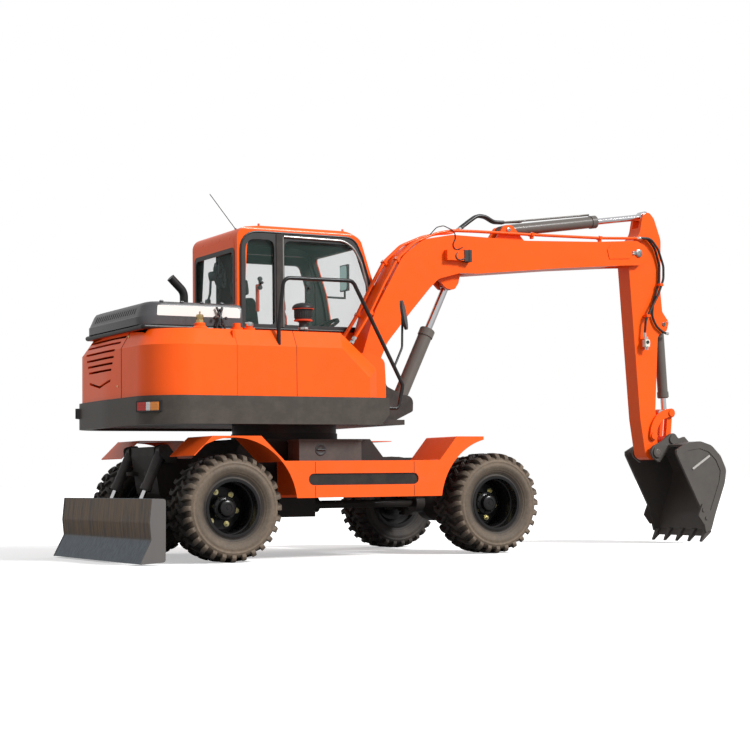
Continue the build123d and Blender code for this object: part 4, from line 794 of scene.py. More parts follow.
def tyre_carcass():
    """Rows of the tyre's section: radius and distance from the middle."""
    crown = TYRE_RADIUS - bpy.context.scene.excavator_wheels.lug_height
    half = [
        (0.2005, 0.148), (0.214, 0.156), (0.226, 0.150), (0.244, 0.161), (0.262, 0.176), (0.285, 0.1845),
        (0.300, 0.1862), (0.303, 0.1845), (0.318, 0.1838), (0.322, 0.1860), (0.335, 0.181), (0.348, 0.170),
        (0.3575, 0.150), (crown - 0.002, 0.120), (crown, 0.06),
    ]
    return [(r, y) for r, y in half] + [(r, -y) for r, y in reversed(half)]


def lug_shape():
    """A hooked lug of the left row, bent over the crown and down the shoulder."""
    crown = TYRE_RADIUS - bpy.context.scene.excavator_wheels.lug_height - 0.004
    top = TYRE_RADIUS
    # Columns: distance from the middle, place round the tyre of the lug's middle, half width, outer radius.
    rows = [
        (0.006, -0.030, 0.0125, top), (0.050, -0.004, 0.0135, top), (0.088, 0.020, 0.0150, top),
        (0.118, 0.014, 0.0165, top), (0.146, 0.002, 0.0180, top - 0.003),
        (0.166, -0.004, 0.0190, top - 0.010), (0.1865, -0.006, 0.0170, top - 0.034),
    ]
    foot = [(crown - 0.002, y) for y, s, w, r in rows[:5]] + [(0.345, 0.160), (0.330, 0.178)]
    points = []
    for (y, s, w, r), (low, foot_y) in zip(rows, foot):
        for radius, across, spread in ((low, foot_y, 0.004), (r, y, 0.0)):
            for sign in (-1, 1):
                angle = (s + sign * (w + spread)) / TYRE_RADIUS
                points.append((radius * sin(angle), across, radius * cos(angle)))
    faces = [(0, 2, 3, 1), tuple(4 * (len(rows) - 1) + i for i in (0, 1, 3, 2))]
    for i in range(len(rows) - 1):
        a, b = 4 * i, 4 * (i + 1)
        faces += [(a + 2, b + 2, b + 3, a + 3), (a, b, b + 2, a + 2),
                  (a + 1, a + 3, b + 3, b + 1), (a, a + 1, b + 1, b)]
    return Shape().add(points, faces, 0.0022, 1)


def wheel_place(x, sign, y):
    """Where a wheel's shape goes, turned to face outwards."""
    turn = Matrix.Rotation(0.0 if sign > 0 else pi, 4, "Z")
    return Matrix.Translation((x, sign * y, WHEEL_Z)) @ turn


class EXCAVATOR_OT_tyres(bpy.types.Operator):
    """Make the four tyres with two staggered rows of hooked lugs"""

    bl_idname = "excavator.tyres"
    bl_label = "Tyres"

    def execute(self, context):
        wheels = context.scene.excavator_wheels
        rows = []
        for sign in (1, -1):
            lug = lug_shape()
            if sign == -1:
                lug.bm.transform(Matrix.Scale(-1, 4, (0, 1, 0)))
                bmesh.ops.reverse_faces(lug.bm, faces=lug.bm.faces)
            rows.append(copies("ring", lug, "tyre_rubber", Count=wheels.lugs,
                               Phase=0.0 if sign == 1 else pi / wheels.lugs, Centre=(0, 0, 0)))
        for end, side, x, sign in WHEELS:
            shape = Shape()
            shape.lathe(tyre_carcass(), (0, 0, 0), (0, 1, 0), 96)
            for mesh in rows:
                shape.bm.from_mesh(mesh)
            shape.bm.transform(wheel_place(x, sign, WHEEL_Y))
            shape.done(f"tyre_dressed_{end}_{side}", f"wheel_{end}_{side}", "tyre_rubber",
                       [f"tyre_{end}_{side}"], "tyre")
        return {"FINISHED"}


def nut_shape():
    """A wheel nut on its stud, pointing along Y from the disc."""
    hexagon = [(0.0165 * cos(pi / 3 * k), 0.0165 * sin(pi / 3 * k)) for k in range(6)]
    shape = Shape().prism(hexagon, "y", 0.0, 0.018, 0.0015)
    shape.rod((0, 0, 0), (0, 0.030, 0), 0.0085, 12, 0.001)
    shape.rod((0, 0, 0), (0, 0.004, 0), 0.021, 20)
    return shape


DISC_IN = 0.065
# Rows of radius and distance from the disc: the hub's stepped cap, the rim's bead and its inner ring.
HUB_CAP = [
    (0.0555, 0.066), (0.0895, 0.066), (0.0895, 0.074), (0.0840, 0.079), (0.0650, 0.080), (0.0600, 0.084),
    (0.0600, 0.108), (0.0575, 0.112), (0.0575, 0.1245), (0.0510, 0.1290), (0.0330, 0.1300), (0.0300, 0.1265),
    (0.0120, 0.1265), (0.0100, 0.1300), (0, 0.1300), (0, 0.120), (0.0555, 0.120),
]
RIM_BEAD = [(0.2128, 0.150), (0.2132, 0.1595), (0.207, 0.1605), (0.1915, 0.159), (0.1912, 0.150)]
RIM_RING = [(0.1912, 0.060), (0.1912, 0.078), (0.185, 0.074), (0.183, 0.069), (0.185, 0.064)]


class EXCAVATOR_OT_wheel_fittings(bpy.types.Operator):
    """Make the wheel nuts, the hub caps and the rims' rings"""

    bl_idname = "excavator.wheel_fittings"
    bl_label = "Wheel Fittings"

    def execute(self, context):
        wheels = context.scene.excavator_wheels
        nut = nut_shape()
        nut.bm.transform(Matrix.Translation((0, 0, 0.123)))
        nuts = copies("ring", nut, "zinc", Count=wheels.nuts, Phase=0.35, Centre=(0, 0, 0))
        for end, side, x, sign in WHEELS:
            body = f"wheel_{end}_{side}"
            place = wheel_place(x, sign, WHEEL_Y - DISC_IN)
            shape = Shape()
            shape.bm.from_mesh(nuts)
            shape.bm.transform(place)
            shape.done(f"wheel_nuts_{end}_{side}", body, "zinc", slot="steel")
            cap = Shape()
            cap.lathe(HUB_CAP, (0, 0, 0), sides=56)
            for k in range(8):
                angle = pi / 4 * k + 0.2
                spot = (0.0740 * cos(angle), 0.078, 0.0740 * sin(angle))
                cap.rod(spot, (spot[0], 0.0865, spot[2]), 0.0062, 6)
            for rows in (RIM_BEAD, RIM_RING):
                cap.lathe([(radius, DISC_IN + along) for radius, along in rows], (0, 0, 0), sides=72)
            cap.bm.transform(place)
            cap.done(f"wheel_trim_{end}_{side}", body, "rim_paint", slot="rim_paint")
        return {"FINISHED"}


class EXCAVATOR_OT_finishes(bpy.types.Operator):
    """Give each node of the frame its finish"""

    bl_idname = "excavator.finishes"
    bl_label = "Finishes"

    def execute(self, context):
        left = set(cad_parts)
        for finish, nodes in NODE_FINISH.items():
            for node in nodes:
                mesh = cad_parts[node].data
                mesh.materials.clear()
                mesh.materials.append(finish_of(finish))
                left.discard(node)
        if left:
            raise RuntimeError(f"nodes with no finish: {sorted(left)}")
        return {"FINISHED"}


class EXCAVATOR_OT_hood(bpy.types.Operator):
    """Make the slotted hood, its side panels and bumps, and the seal under it"""

    bl_idname = "excavator.hood"
    bl_label = "Hood Trim"

    def execute(self, context):
        settings = context.scene.excavator_hood
        hood = Shape()
        # Rows of the rear end's place, the half width, the rear corners' radius and the level, up the outside
        # and down the inside.
        rows = (
            (-1.690, 0.6100, 0.130, 1.732), (-1.690, 0.6100, 0.130, 1.788), (-1.682, 0.6096, 0.126, 1.796),
            (-1.650, 0.5982, 0.120, 1.870), (-1.634, 0.5880, 0.115, 1.893), (-1.600, 0.5580, 0.100, 1.905),
            (-1.606, 0.5580, 0.100, 1.893), (-1.640, 0.5880, 0.112, 1.868), (-1.676, 0.5990, 0.120, 1.786),
            (-1.680, 0.6000, 0.120, 1.732))
        points, faces = [], []
        for rear, half, radius, level in rows:
            front = -0.885 if half > 0.595 else -0.885 - 0.5 * (0.610 - half)
            loop = corners([
                (rear, -half, radius), (front, -half, 0.012), (front, half, 0.012), (rear, half, radius)])
            points += [(a, b, level) for a, b in loop]
        size = len(points) // len(rows)
        # The outside's last row and the inside's first are each closed by one flat face.
        last_outside = 5
        for i in range(len(rows)):
            j = (i + 1) % len(rows)
            if i == last_outside:
                faces.append(tuple(range(i * size, j * size)))
                faces.append(tuple(range(j * size, (j + 1) * size)))
                continue
            for k in range(size):
                n = (k + 1) % size
                faces.append((i * size + k, i * size + n, j * size + n, j * size + k))
        hood.add(points, faces)
        slots = Shape()
        first = -0.414
        step = -2 * first / (settings.slots - 1)
        for k in range(settings.slots):
            y = first + step * k
            slots.block((-1.700, y - 0.0085, 1.816), (-1.640, y + 0.0085, 1.862), 0.004)
        hood.minus(slots)
        hood.done("engine_hood_dressed", "hood", "hood_paint", ["engine_hood"], "dark_paint")

        panels = Shape()
        panel = [
            (-1.572, 1.797, 0.010), (-0.908, 1.797, 0.012), (-0.905, 1.874, 0.030), (-1.562, 1.874, 0.012)]
        for sign in (1, -1):
            side = Shape().sheet([panel], "y", 0.0, 0.0028)
            for v in side.bm.verts:
                v.co.y += sign * 0.6110 - (0.0028 if sign < 0 else 0.0) - sign * 0.1565 * (v.co.z - 1.790)
            panels.gather(side.bm)
        panels.done("hood_side_panels", "hood", "hood_panel", slot="dark_paint")

        bumps = Shape()
        for sign in (1, -1):
            for x in (-1.52, -1.36, -1.20, -1.04):
                y, z = sign * 0.572, 1.905
                bumps.rod((x - 0.014, y, z), (x + 0.014, y, z), 0.009, 16, 0.003)
        bumps.done("hood_hinge_bumps", "hood", "hood_paint", slot="dark_paint")

        seal = Shape()
        seal.pipe([(-0.905, -0.600, 1.7130), (-1.672, -0.600, 1.7130), (-1.672, 0.600, 1.7130),
                   (-0.905, 0.600, 1.7130)], 0.012, 0.0188, 16)
        seal.done("hood_seal", "upper", "seal_rubber", slot="black_plastic")
        return {"FINISHED"}


CLEANER = (-0.378, -0.600, BODY_TOP)
FILLER = (-1.293, -0.750, BODY_TOP)
TANK = (-0.900, -0.750, BODY_TOP)
UP = (0, 0, 1)
LAMP_HALF_WIDTH = 0.107
LAMP_HALF_HEIGHT = 0.040


class EXCAVATOR_OT_body(bpy.types.Operator):
    """Make the body's seams, screws, caps, air cleaner and tail lamps"""

    bl_idname = "excavator.body"
    bl_label = "Body Fittings"

    def execute(self, context):
        seams = Shape()
        side = [(-0.8822, 1.207), (-0.8822, 1.573), (-0.8122, 1.6952), (-0.362, 1.6952)]
        seams.pipe([(-0.574, y, z) for y, z in side], 0.004, 0.0022, 8)
        rear = [(-1.7215, 1.207), (-1.7215, 1.573), (-1.6520, 1.694)]
        seams.pipe([(x, -0.28, z) for x, z in rear], 0.004, 0.0022, 8)
        seams.done("body_seams", "upper", "seam_dark", slot="body_paint")

        screws = Shape()
        for y, z, x in ((-0.308, 1.660, -1.672), (-0.212, 1.296, -1.7240), (0.500, 1.308, -1.6710)):
            screws.rod((x, y, z), (x - 0.004, y, z), 0.009, 16, 0.001)
            screws.rod((x - 0.004, y, z), (x - 0.008, y, z), 0.005, 6)
        screws.done("body_screws", "upper", "zinc", slot="steel")

        x, y = FILLER[:2]
        filler = Shape()
        filler.lathe([(0, -0.004), (0.058, -0.004), (0.058, 0.006), (0.046, 0.020), (0.034, 0.024),
                      (0, 0.024)], FILLER, UP)
        filler.rod((x, y, 1.715), (x, y, 1.738), 0.040, 32, 0.004)
        filler.done("filler_neck", "upper", "orange_paint", slot="body_paint")
        cap = Shape()
        cap.prism([(x + 0.030 * cos(pi / 3 * k), y + 0.030 * sin(pi / 3 * k)) for k in range(6)],
                  "z", 1.737, 1.762, 0.003)
        cap.lathe([(0, 0.065), (0.025, 0.065), (0.027, 0.072), (0.027, 0.098), (0.022, 0.104), (0, 0.104)],
                  FILLER, UP, 32)
        cap.rod((x, y, 1.795), (x, y, 1.822), 0.006, 12, 0.001)
        cap.done("fuel_cap", "upper", "brass", slot="steel")
        tank = Shape()
        tank.lathe([(0, 0.030), (0.031, 0.030), (0.033, 0.034), (0.033, 0.052), (0.026, 0.060),
                    (0.010, 0.064), (0, 0.064)], TANK, UP, 24)
        tank.done("tank_cap", "upper", "fitting_steel", slot="steel")

        latch = Shape()
        for a, b in (((-1.122, 1.694), (-1.058, 1.872)), ((-1.040, 1.694), (-1.104, 1.872))):
            latch.pipe([(a[0], -0.640, a[1]), ((a[0] + b[0]) / 2, -0.646, (a[1] + b[1]) / 2),
                        (b[0], -0.622, b[1])], 0.03, 0.0090, 10)
        for x, z in ((-1.128, 1.792), (-1.038, 1.790), (-1.081, 1.850), (-1.096, 1.818), (-1.066, 1.745)):
            latch.lathe([(0, -0.010), (0.011, -0.006), (0.012, 0.004), (0.006, 0.011), (0, 0.011)],
                        (x, -0.643, z), (0, -1, 0), 14)
        latch.done("hood_latch", "upper", "black_plastic", slot="black_plastic")

        cleaner = Shape()
        cleaner.lathe([(0, -0.002), (0.033, -0.002), (0.033, 0.088), (0.044, 0.094), (0.060, 0.104),
                       (0.066, 0.120), (0.067, 0.186), (0.080, 0.190), (0.083, 0.197), (0.083, 0.208),
                       (0.074, 0.220), (0.052, 0.233), (0.024, 0.239), (0, 0.240)], CLEANER, UP, 64)
        for k in range(24):
            angle = 2 * pi * k / 24
            x, y = CLEANER[0] + 0.0665 * cos(angle), CLEANER[1] + 0.0665 * sin(angle)
            cleaner.rod((x, y, 1.820), (x, y, 1.880), 0.0030, 8)
        cleaner.done("air_cleaner_dressed", "upper", "black_plastic", ["air_cleaner"], "black_plastic")
        ring = Shape()
        ring.lathe([(0.060, 0.098), (0.0705, 0.100), (0.0715, 0.107), (0.066, 0.112), (0.058, 0.110)],
                   CLEANER, UP, 48)
        ring.lathe([(0.0665, 0.1885), (0.0845, 0.1895), (0.0845, 0.1935), (0.0665, 0.1935)],
                   CLEANER, UP, 48)
        ring.done("air_cleaner_rings", "upper", "red_plastic", slot="body_paint")
        clamp = Shape()
        clamp.lathe([(0.0325, 0.034), (0.0385, 0.034), (0.0385, 0.052), (0.0325, 0.052)],
                    CLEANER, UP, 40)
        clamp.block((-0.392, -0.652, 1.730), (-0.364, -0.634, 1.746), 0.003)
        clamp.done("air_cleaner_clamp", "upper", "fitting_steel", slot="steel")

        housings = Shape()
        for side, sign in (("left", 1), ("right", -1)):
            turn = Matrix.Rotation(-sign * radians(32), 4, "Z")
            turn = Matrix.Translation((-1.680, sign * 0.735, 1.127)) @ turn
            body = Shape()
            body.block((-0.0125, -LAMP_HALF_WIDTH, -LAMP_HALF_HEIGHT),
                       (0.0205, LAMP_HALF_WIDTH, LAMP_HALF_HEIGHT), 0.004)
            body.bm.transform(turn)
            housings.gather(body.bm)
            frame_piece = Shape()
            rim = plate(-LAMP_HALF_WIDTH, LAMP_HALF_WIDTH, -LAMP_HALF_HEIGHT, LAMP_HALF_HEIGHT, 0.008)
            opening = plate(-0.098, 0.098, -0.031, 0.031, 0.005)
            frame_piece.sheet([rim, opening], "x", -0.0185, -0.0120)
            frame_piece.bm.transform(turn)
            frame_piece.done(f"tail_lamp_frame_{side}", "upper", "black_plastic", slot="black_plastic")
            lenses = (("red", 0.020, 0.098), ("clear", -0.020, 0.020), ("amber", -0.098, -0.020))
            for name, low, high in lenses:
                low, high = sorted((-sign * low, -sign * high))
                glass = Shape()
                glass.block((-0.0200, low + 0.0006, -0.031), (-0.0110, high - 0.0006, 0.031), 0.003)
                for k in range(3):
                    z = -0.018 + 0.018 * k
                    glass.block((-0.0212, low + 0.008, z - 0.006), (-0.0180, high - 0.008, z + 0.006), 0.0012)
                glass.bm.transform(turn)
                glass.done(f"tail_lens_{name}_{side}", "upper", f"lens_{name}", slot="lamp_plastic")
        housings.done("tail_lamps_dressed", "upper", "black_plastic", ["tail_lamps"], "lamp_plastic")
        return {"FINISHED"}


CAB_OPENING = [
    (-0.622, 1.786, 0.03), (0.574, 1.786, 0.03), (0.570, 2.00, 0.3), (0.530, 2.200, 0.3), (0.462, 2.410, 0.2),
    (0.390, 2.556, 0.14), (-0.622, 2.556, 0.16),
]


class EXCAVATOR_OT_cab(bpy.types.Operator):
    """Make the cab's seals, post, latches, aerial, fan, seat, lever, door handle and mirror glass"""

    bl_idname = "excavator.cab"
    bl_label = "Cab Fittings"

    def execute(self, context):
        trim = Shape()
        rear_light = [
            (-0.582, 1.822, 0.03), (-0.330, 1.822, 0.03), (-0.330, 2.497, 0.07), (-0.582, 2.497, 0.10)]
        front_light = [(-0.242, 1.822, 0.02), (0.533, 1.822, 0.03), (0.526, 2.00, 0.3), (0.493, 2.190, 0.3),
                       (0.425, 2.400, 0.15), (0.366, 2.497, 0.10), (-0.242, 2.497, 0.07)]
        trim.sheet([CAB_OPENING, rear_light, front_light], "y", -0.0035, 0.0050)
        left_rim = [
            (-0.618, 1.786, 0.03), (-0.408, 1.786, 0.03), (-0.408, 2.520, 0.05), (-0.600, 2.520, 0.12)]
        left_light = [
            (-0.588, 1.820, 0.03), (-0.438, 1.820, 0.03), (-0.438, 2.488, 0.04), (-0.560, 2.488, 0.08)]
        trim.sheet([left_rim, left_light], "y", 0.8985, 0.9035)
        rim, light = plate(0.052, 0.852, 1.886, 2.430, 0.05), plate(0.086, 0.818, 1.922, 2.394, 0.04)
        trim.sheet([rim, light], "x", -0.6540, -0.6490)
        closed = [(a, -0.0035, b) for a, b in corners(CAB_OPENING)]
        trim.pipe(closed + closed[:2], 0.01, 0.0075, 8)
        trim.done("cab_window_seals", "upper", "seal_rubber", slot="black_plastic")

        header = Shape()
        outline = [(0.060, 2.396, 0.01), (0.844, 2.396, 0.01), (0.844, 2.500, 0.05), (0.060, 2.500, 0.05)]
        header.sheet([outline], "x", -0.6520, -0.6400)
        header.done("cab_rear_header", "upper", "orange_paint", slot="body_paint")

        post = Shape()
        post.block((-0.318, -0.0100, 1.800), (-0.252, 0.0040, 2.548), 0.004)
        post.done("cab_post", "upper", "post_paint", slot="dark_paint")
        rail = Shape()
        top = [(-0.250, 2.527), (0.290, 2.523), (0.385, 2.470), (0.452, 2.350), (0.512, 2.140)]
        rail.pipe([(x, -0.008, z) for x, z in top], 0.16, 0.0105, 14)
        rail.rod((-0.2535, -0.0065, 1.805), (-0.2535, -0.0065, 2.527), 0.0060, 12)
        rail.done("cab_window_rail", "upper", "aluminium", slot="steel")

        latches = Shape()
        for x, z in ((-0.429, 2.153), (-0.007, 2.131), (-0.250, 2.060)):
            size = 0.6 if x == -0.250 else 1.0
            latches.rod((x, 0.010, z), (x, 0.060, z), 0.011, 16, 0.002)
            latches.block((x - 0.012, 0.046, z - 0.040 * size), (x + 0.012, 0.066, z + 0.040 * size), 0.006)
            for end in (-1, 1):
                latches.lathe([(0, -0.012), (0.018, -0.010), (0.020, 0), (0.018, 0.010), (0, 0.012)],
                              (x, 0.058, z + end * 0.034 * size), (0, 1, 0), 20)
        latches.done("cab_window_latches", "upper", "black_plastic", slot="black_plastic")

        studs = Shape()
        for x, z in ((-0.429, 2.6085), (0.326, 2.6085)):
            studs.lathe([(0, -0.008), (0.016, -0.008), (0.016, 0.002), (0.009, 0.006), (0.009, 0.020),
                         (0.006, 0.024), (0, 0.024)], (x, 0.075, z), UP, 20)
        studs.done("cab_roof_studs", "upper", "red_plastic", slot="body_paint")
        aerial = Shape()
        aerial.lathe([(0, -0.006), (0.014, -0.006), (0.012, 0.012), (0.005, 0.028), (0, 0.028)],
                     (-0.562, 0.200, 2.580), (-0.640, 0, 0.768), 20)
        aerial.rod((-0.570, 0.200, 2.590), (-0.796, 0.200, 2.862), 0.0032, 10)
        aerial.done("cab_aerial", "upper", "black_plastic", slot="black_plastic")

        fan = Shape()
        centre = Vector((-0.545, 0.640, 2.270))
        axis = Vector((0.82, -0.55, 0.10)).normalized()
        for radius, along in ((0.104, 0.0), (0.104, 0.045), (0.075, 0.058), (0.045, 0.064), (0.075, -0.012)):
            fan.lathe([(radius - 0.003, along - 0.003), (radius + 0.003, along - 0.003),
                       (radius + 0.003, along + 0.003), (radius - 0.003, along + 0.003)], centre, axis, 40)
        fan.lathe([(0, -0.070), (0.034, -0.066), (0.040, -0.050), (0.040, -0.010), (0.020, 0.004),
                   (0, 0.004)], centre, axis, 28)
        lie = axis.to_track_quat("Z", "X").to_matrix()
        for k in range(28):
            angle = 2 * pi * k / 28
            out = lie @ Vector((cos(angle), sin(angle), 0))
            fan.rod(centre + 0.030 * out - 0.012 * axis, centre + 0.104 * out, 0.0016, 6)
            fan.rod(centre + 0.104 * out, centre + 0.104 * out + 0.045 * axis, 0.0016, 6)
            fan.rod(centre + 0.104 * out + 0.045 * axis, centre + 0.020 * out + 0.066 * axis, 0.0016, 6)
        for k in range(4):
            angle = pi / 2 * k
            out = lie @ Vector((cos(angle), sin(angle), 0))
            side = lie @ Vector((-sin(angle), cos(angle), 0))
            root, tip = centre + 0.014 * out + 0.014 * axis, centre + 0.090 * out + 0.022 * axis
            wide = 0.030 * side + 0.012 * axis
            blade = [root - 0.4 * wide, root + 0.4 * wide, tip + wide, tip - wide]
            thick = 0.0015 * axis
            fan.add([q - thick for q in blade] + [q + thick for q in blade],
                    [(0, 1, 2, 3), (7, 6, 5, 4), (0, 4, 5, 1), (1, 5, 6, 2), (2, 6, 7, 3), (3, 7, 4, 0)])
        root = centre - 0.05 * axis
        fan.pipe([root, root + Vector((0, 0.02, -0.14)), (-0.600, 0.700, 2.060)], 0.05, 0.010, 12)
        fan.block((-0.612, 0.660, 2.020), (-0.590, 0.740, 2.080), 0.006)
        fan.done("cab_fan", "upper", "fan_plastic", slot="black_plastic")

        seat = Shape()
        lean = Matrix.Rotation(radians(-7), 3, "Y")
        seat.cushion((-0.350, 0.235, 1.570), (0.135, 0.665, 1.700), 2)
        seat.cushion((-0.450, 0.245, 1.610), (-0.325, 0.655, 2.070), 0, lean)
        seat.cushion((-0.475, 0.330, 2.085), (-0.385, 0.570, 2.215), 0, lean)
        padded = seat.done("seat_cushions", "upper", "seat_cloth", ["seat"], "seat_cloth", 60)
        base = Shape()
        base.block((-0.330, 0.230, 1.545), (0.110, 0.670, 1.590), 0.012)
        base.block((-0.430, 0.300, 1.560), (-0.395, 0.600, 1.980), 0.010, lean)
        for y in (0.400, 0.500):
            base.rod((-0.405, y, 2.030), (-0.445, y, 2.120), 0.007, 12)
        for y in (0.205, 0.660):
            base.block((-0.330, y, 1.780), (0.020, y + 0.045, 1.815), 0.014)
            base.rod((-0.330, y + 0.022, 1.580), (-0.330, y + 0.022, 1.800), 0.012, 12)
        base.block((-0.240, 0.300, 1.246), (0.060, 0.600, 1.560), 0.015)
        base.done("seat_frame", "upper", "black_plastic", slot="black_plastic")

        lever = Shape()
        lever.pipe([(-0.160, 0.135, 1.780), (-0.165, 0.135, 1.900), (-0.185, 0.140, 1.960)], 0.04, 0.008, 12)
        lever.lathe([(0, -0.012), (0.020, -0.004), (0.024, 0.040), (0.020, 0.085), (0.010, 0.098),
                     (0, 0.100)], (-0.185, 0.140, 1.955), (-0.1, 0.03, 1.0), 20)
        lever.block((-0.440, 0.095, 1.930), (-0.414, 0.125, 2.150), 0.006)
        lever.done("cab_lever", "upper", "red_plastic", slot="black_plastic")

        handle = Shape()
        handle.sheet([plate(0.300, 0.450, 1.590, 1.660, 0.02)], "y", 0.8995, 0.9050)
        grip = ((0.320, 0.900), (0.330, 0.928), (0.430, 0.928), (0.440, 0.900))
        handle.pipe([(x, y, 1.625) for x, y in grip], 0.012, 0.007, 12)
        handle.done("door_handle", "door", "black_plastic", slot="black_plastic")

        mirror = Shape()
        mirror.sheet([plate(0.838, 0.962, 2.234, 2.446, 0.03)], "x", 0.7665, 0.7705)
        mirror.done("mirror_left_glass", "upper", "mirror_glass", slot="glass")
        return {"FINISHED"}


BOOM_LINE = [
    (0.232, 1.700), (0.380, 1.918), (0.506, 2.150), (0.633, 2.362), (0.797, 2.507), (1.002, 2.592),
    (1.156, 2.625), (1.404, 2.632), (1.980, 2.638), (2.657, 2.650), (3.075, 2.672),
]


class EXCAVATOR_OT_boom(bpy.types.Operator):
    """Make the boom's pipes, clamps, fittings, wiring and pin heads"""

    bl_idname = "excavator.boom"
    bl_label = "Boom Pipes"

    def execute(self, context):
        pipes, heads = Shape(), Shape()
        for y in RIGHT_PIPES:
            pipes.pipe([(x, y, z) for x, z in BOOM_LINE], 0.30, 0.0105, 12)
        left = BOOM_LINE[:7] + [(1.290, 2.640), (1.369, 2.684)]
        for y in LEFT_PIPES:
            pipes.pipe([(x, y, z) for x, z in left], 0.20, 0.0105, 12)
        # Clamps: the place, the next one along the pipes, and the sides that have one.
        for (x, z), (ahead_x, ahead_z), sides in (
                (BOOM_LINE[1], BOOM_LINE[2], (RIGHT_CLAMP, LEFT_CLAMP)),
                (BOOM_LINE[3], BOOM_LINE[4], (RIGHT_CLAMP, LEFT_CLAMP)),
                ((1.950, 2.638), (2.657, 2.650), (RIGHT_CLAMP,)),
                (BOOM_LINE[9], BOOM_LINE[10], (RIGHT_CLAMP,))):
            turn = Matrix.Rotation(-atan2(ahead_z - z, ahead_x - x), 3, "Y")
            for y in sides:
                pipes.block((x - 0.017, y - 0.030, z - 0.014), (x + 0.017, y + 0.030, z + 0.014), 0.004, turn)
                foot = Vector((x, y, z)) + turn @ Vector((0, 0, -0.022))
                half = Vector((0.012, 0.016, 0.014))
                pipes.block(foot - half, foot + half, 0.003, turn)
                top = Vector((x, y, z)) + turn @ Vector((0, 0, 0.013))
                heads.rod(top, top + turn @ Vector((0, 0, 0.008)), 0.0075, 6)
        pipes.done("boom_pipes", "boom", "orange_paint", slot="body_paint")

        # Fittings at the pipes' ends: the place, its sides and the way that the hose leaves.
        ends = (((3.080, 2.6725), RIGHT_PIPES, (1, 0, 0.05)), ((1.374, 2.687), LEFT_PIPES, (0.8, 0, 0.45)),
                ((0.226, 1.691), (*RIGHT_PIPES, *LEFT_PIPES), (-0.56, 0, -0.83)))
        for (x, z), sides, way in ends:
            along = Vector(way).normalized()
            for y in sides:
                at = Vector((x, y, z))
                heads.rod(at - 0.030 * along, at - 0.006 * along, 0.0145, 6, 0.002)
                heads.rod(at - 0.006 * along, at + 0.012 * along, 0.0120, 16, 0.002)
                heads.rod(at + 0.010 * along, at + 0.034 * along, 0.0150, 6, 0.002)
        heads.done("boom_fittings", "boom", "fitting_steel", slot="steel")

        pins = Shape()
        for (x, z), y, radius in (((3.057, 2.536), -0.3075, 0.034), ((1.732, 2.668), -0.2565, 0.020)):
            pins.lathe([(0, 0), (radius, 0), (radius, 0.0035), (radius - 0.004, 0.0055),
                        (radius * 0.4, 0.0055), (radius * 0.36, 0.0030), (0, 0.0030)],
                       (x, y, z), (0, -1, 0), 40)
        pins.block((2.985, -0.3085, 2.520), (3.030, -0.3000, 2.552), 0.003)
        pins.done("boom_pin_heads", "boom", "pin_steel", slot="steel")
        bolts = Shape()
        for z in (2.5275, 2.5445):
            bolts.rod((2.998, -0.3080, z), (2.998, -0.3140, z), 0.0058, 6)
        bolts.done("boom_pin_bolts", "boom", "fitting_steel", slot="steel")

        wire = Shape()
        wire.pipe([(0.925, -0.291, 2.562), (1.000, -0.300, 2.640), (1.061, -0.306, 2.656),
                   (1.151, -0.3045, 2.624), (1.186, -0.3045, 2.570), (1.146, -0.3045, 2.501),
                   (1.178, -0.306, 2.459), (1.233, -0.320, 2.484)], 0.05, 0.0042, 10)
        wire.pipe([(1.186, -0.340, 2.4575), (1.142, -0.3525, 2.405), (1.172, -0.3525, 2.372),
                   (1.232, -0.3525, 2.388)], 0.05, 0.0042, 10)
        wire.done("boom_lamp_wire", "boom", "hose_rubber", slot="black_plastic")
        glass = Shape()
        glass.sheet([plate(-0.349, -0.309, 2.366, 2.457, 0.01)], "x", 1.2995, 1.3035)
        glass.done("boom_lamp_glass", "boom", "lens_clear", slot="lamp_plastic")
        return {"FINISHED"}


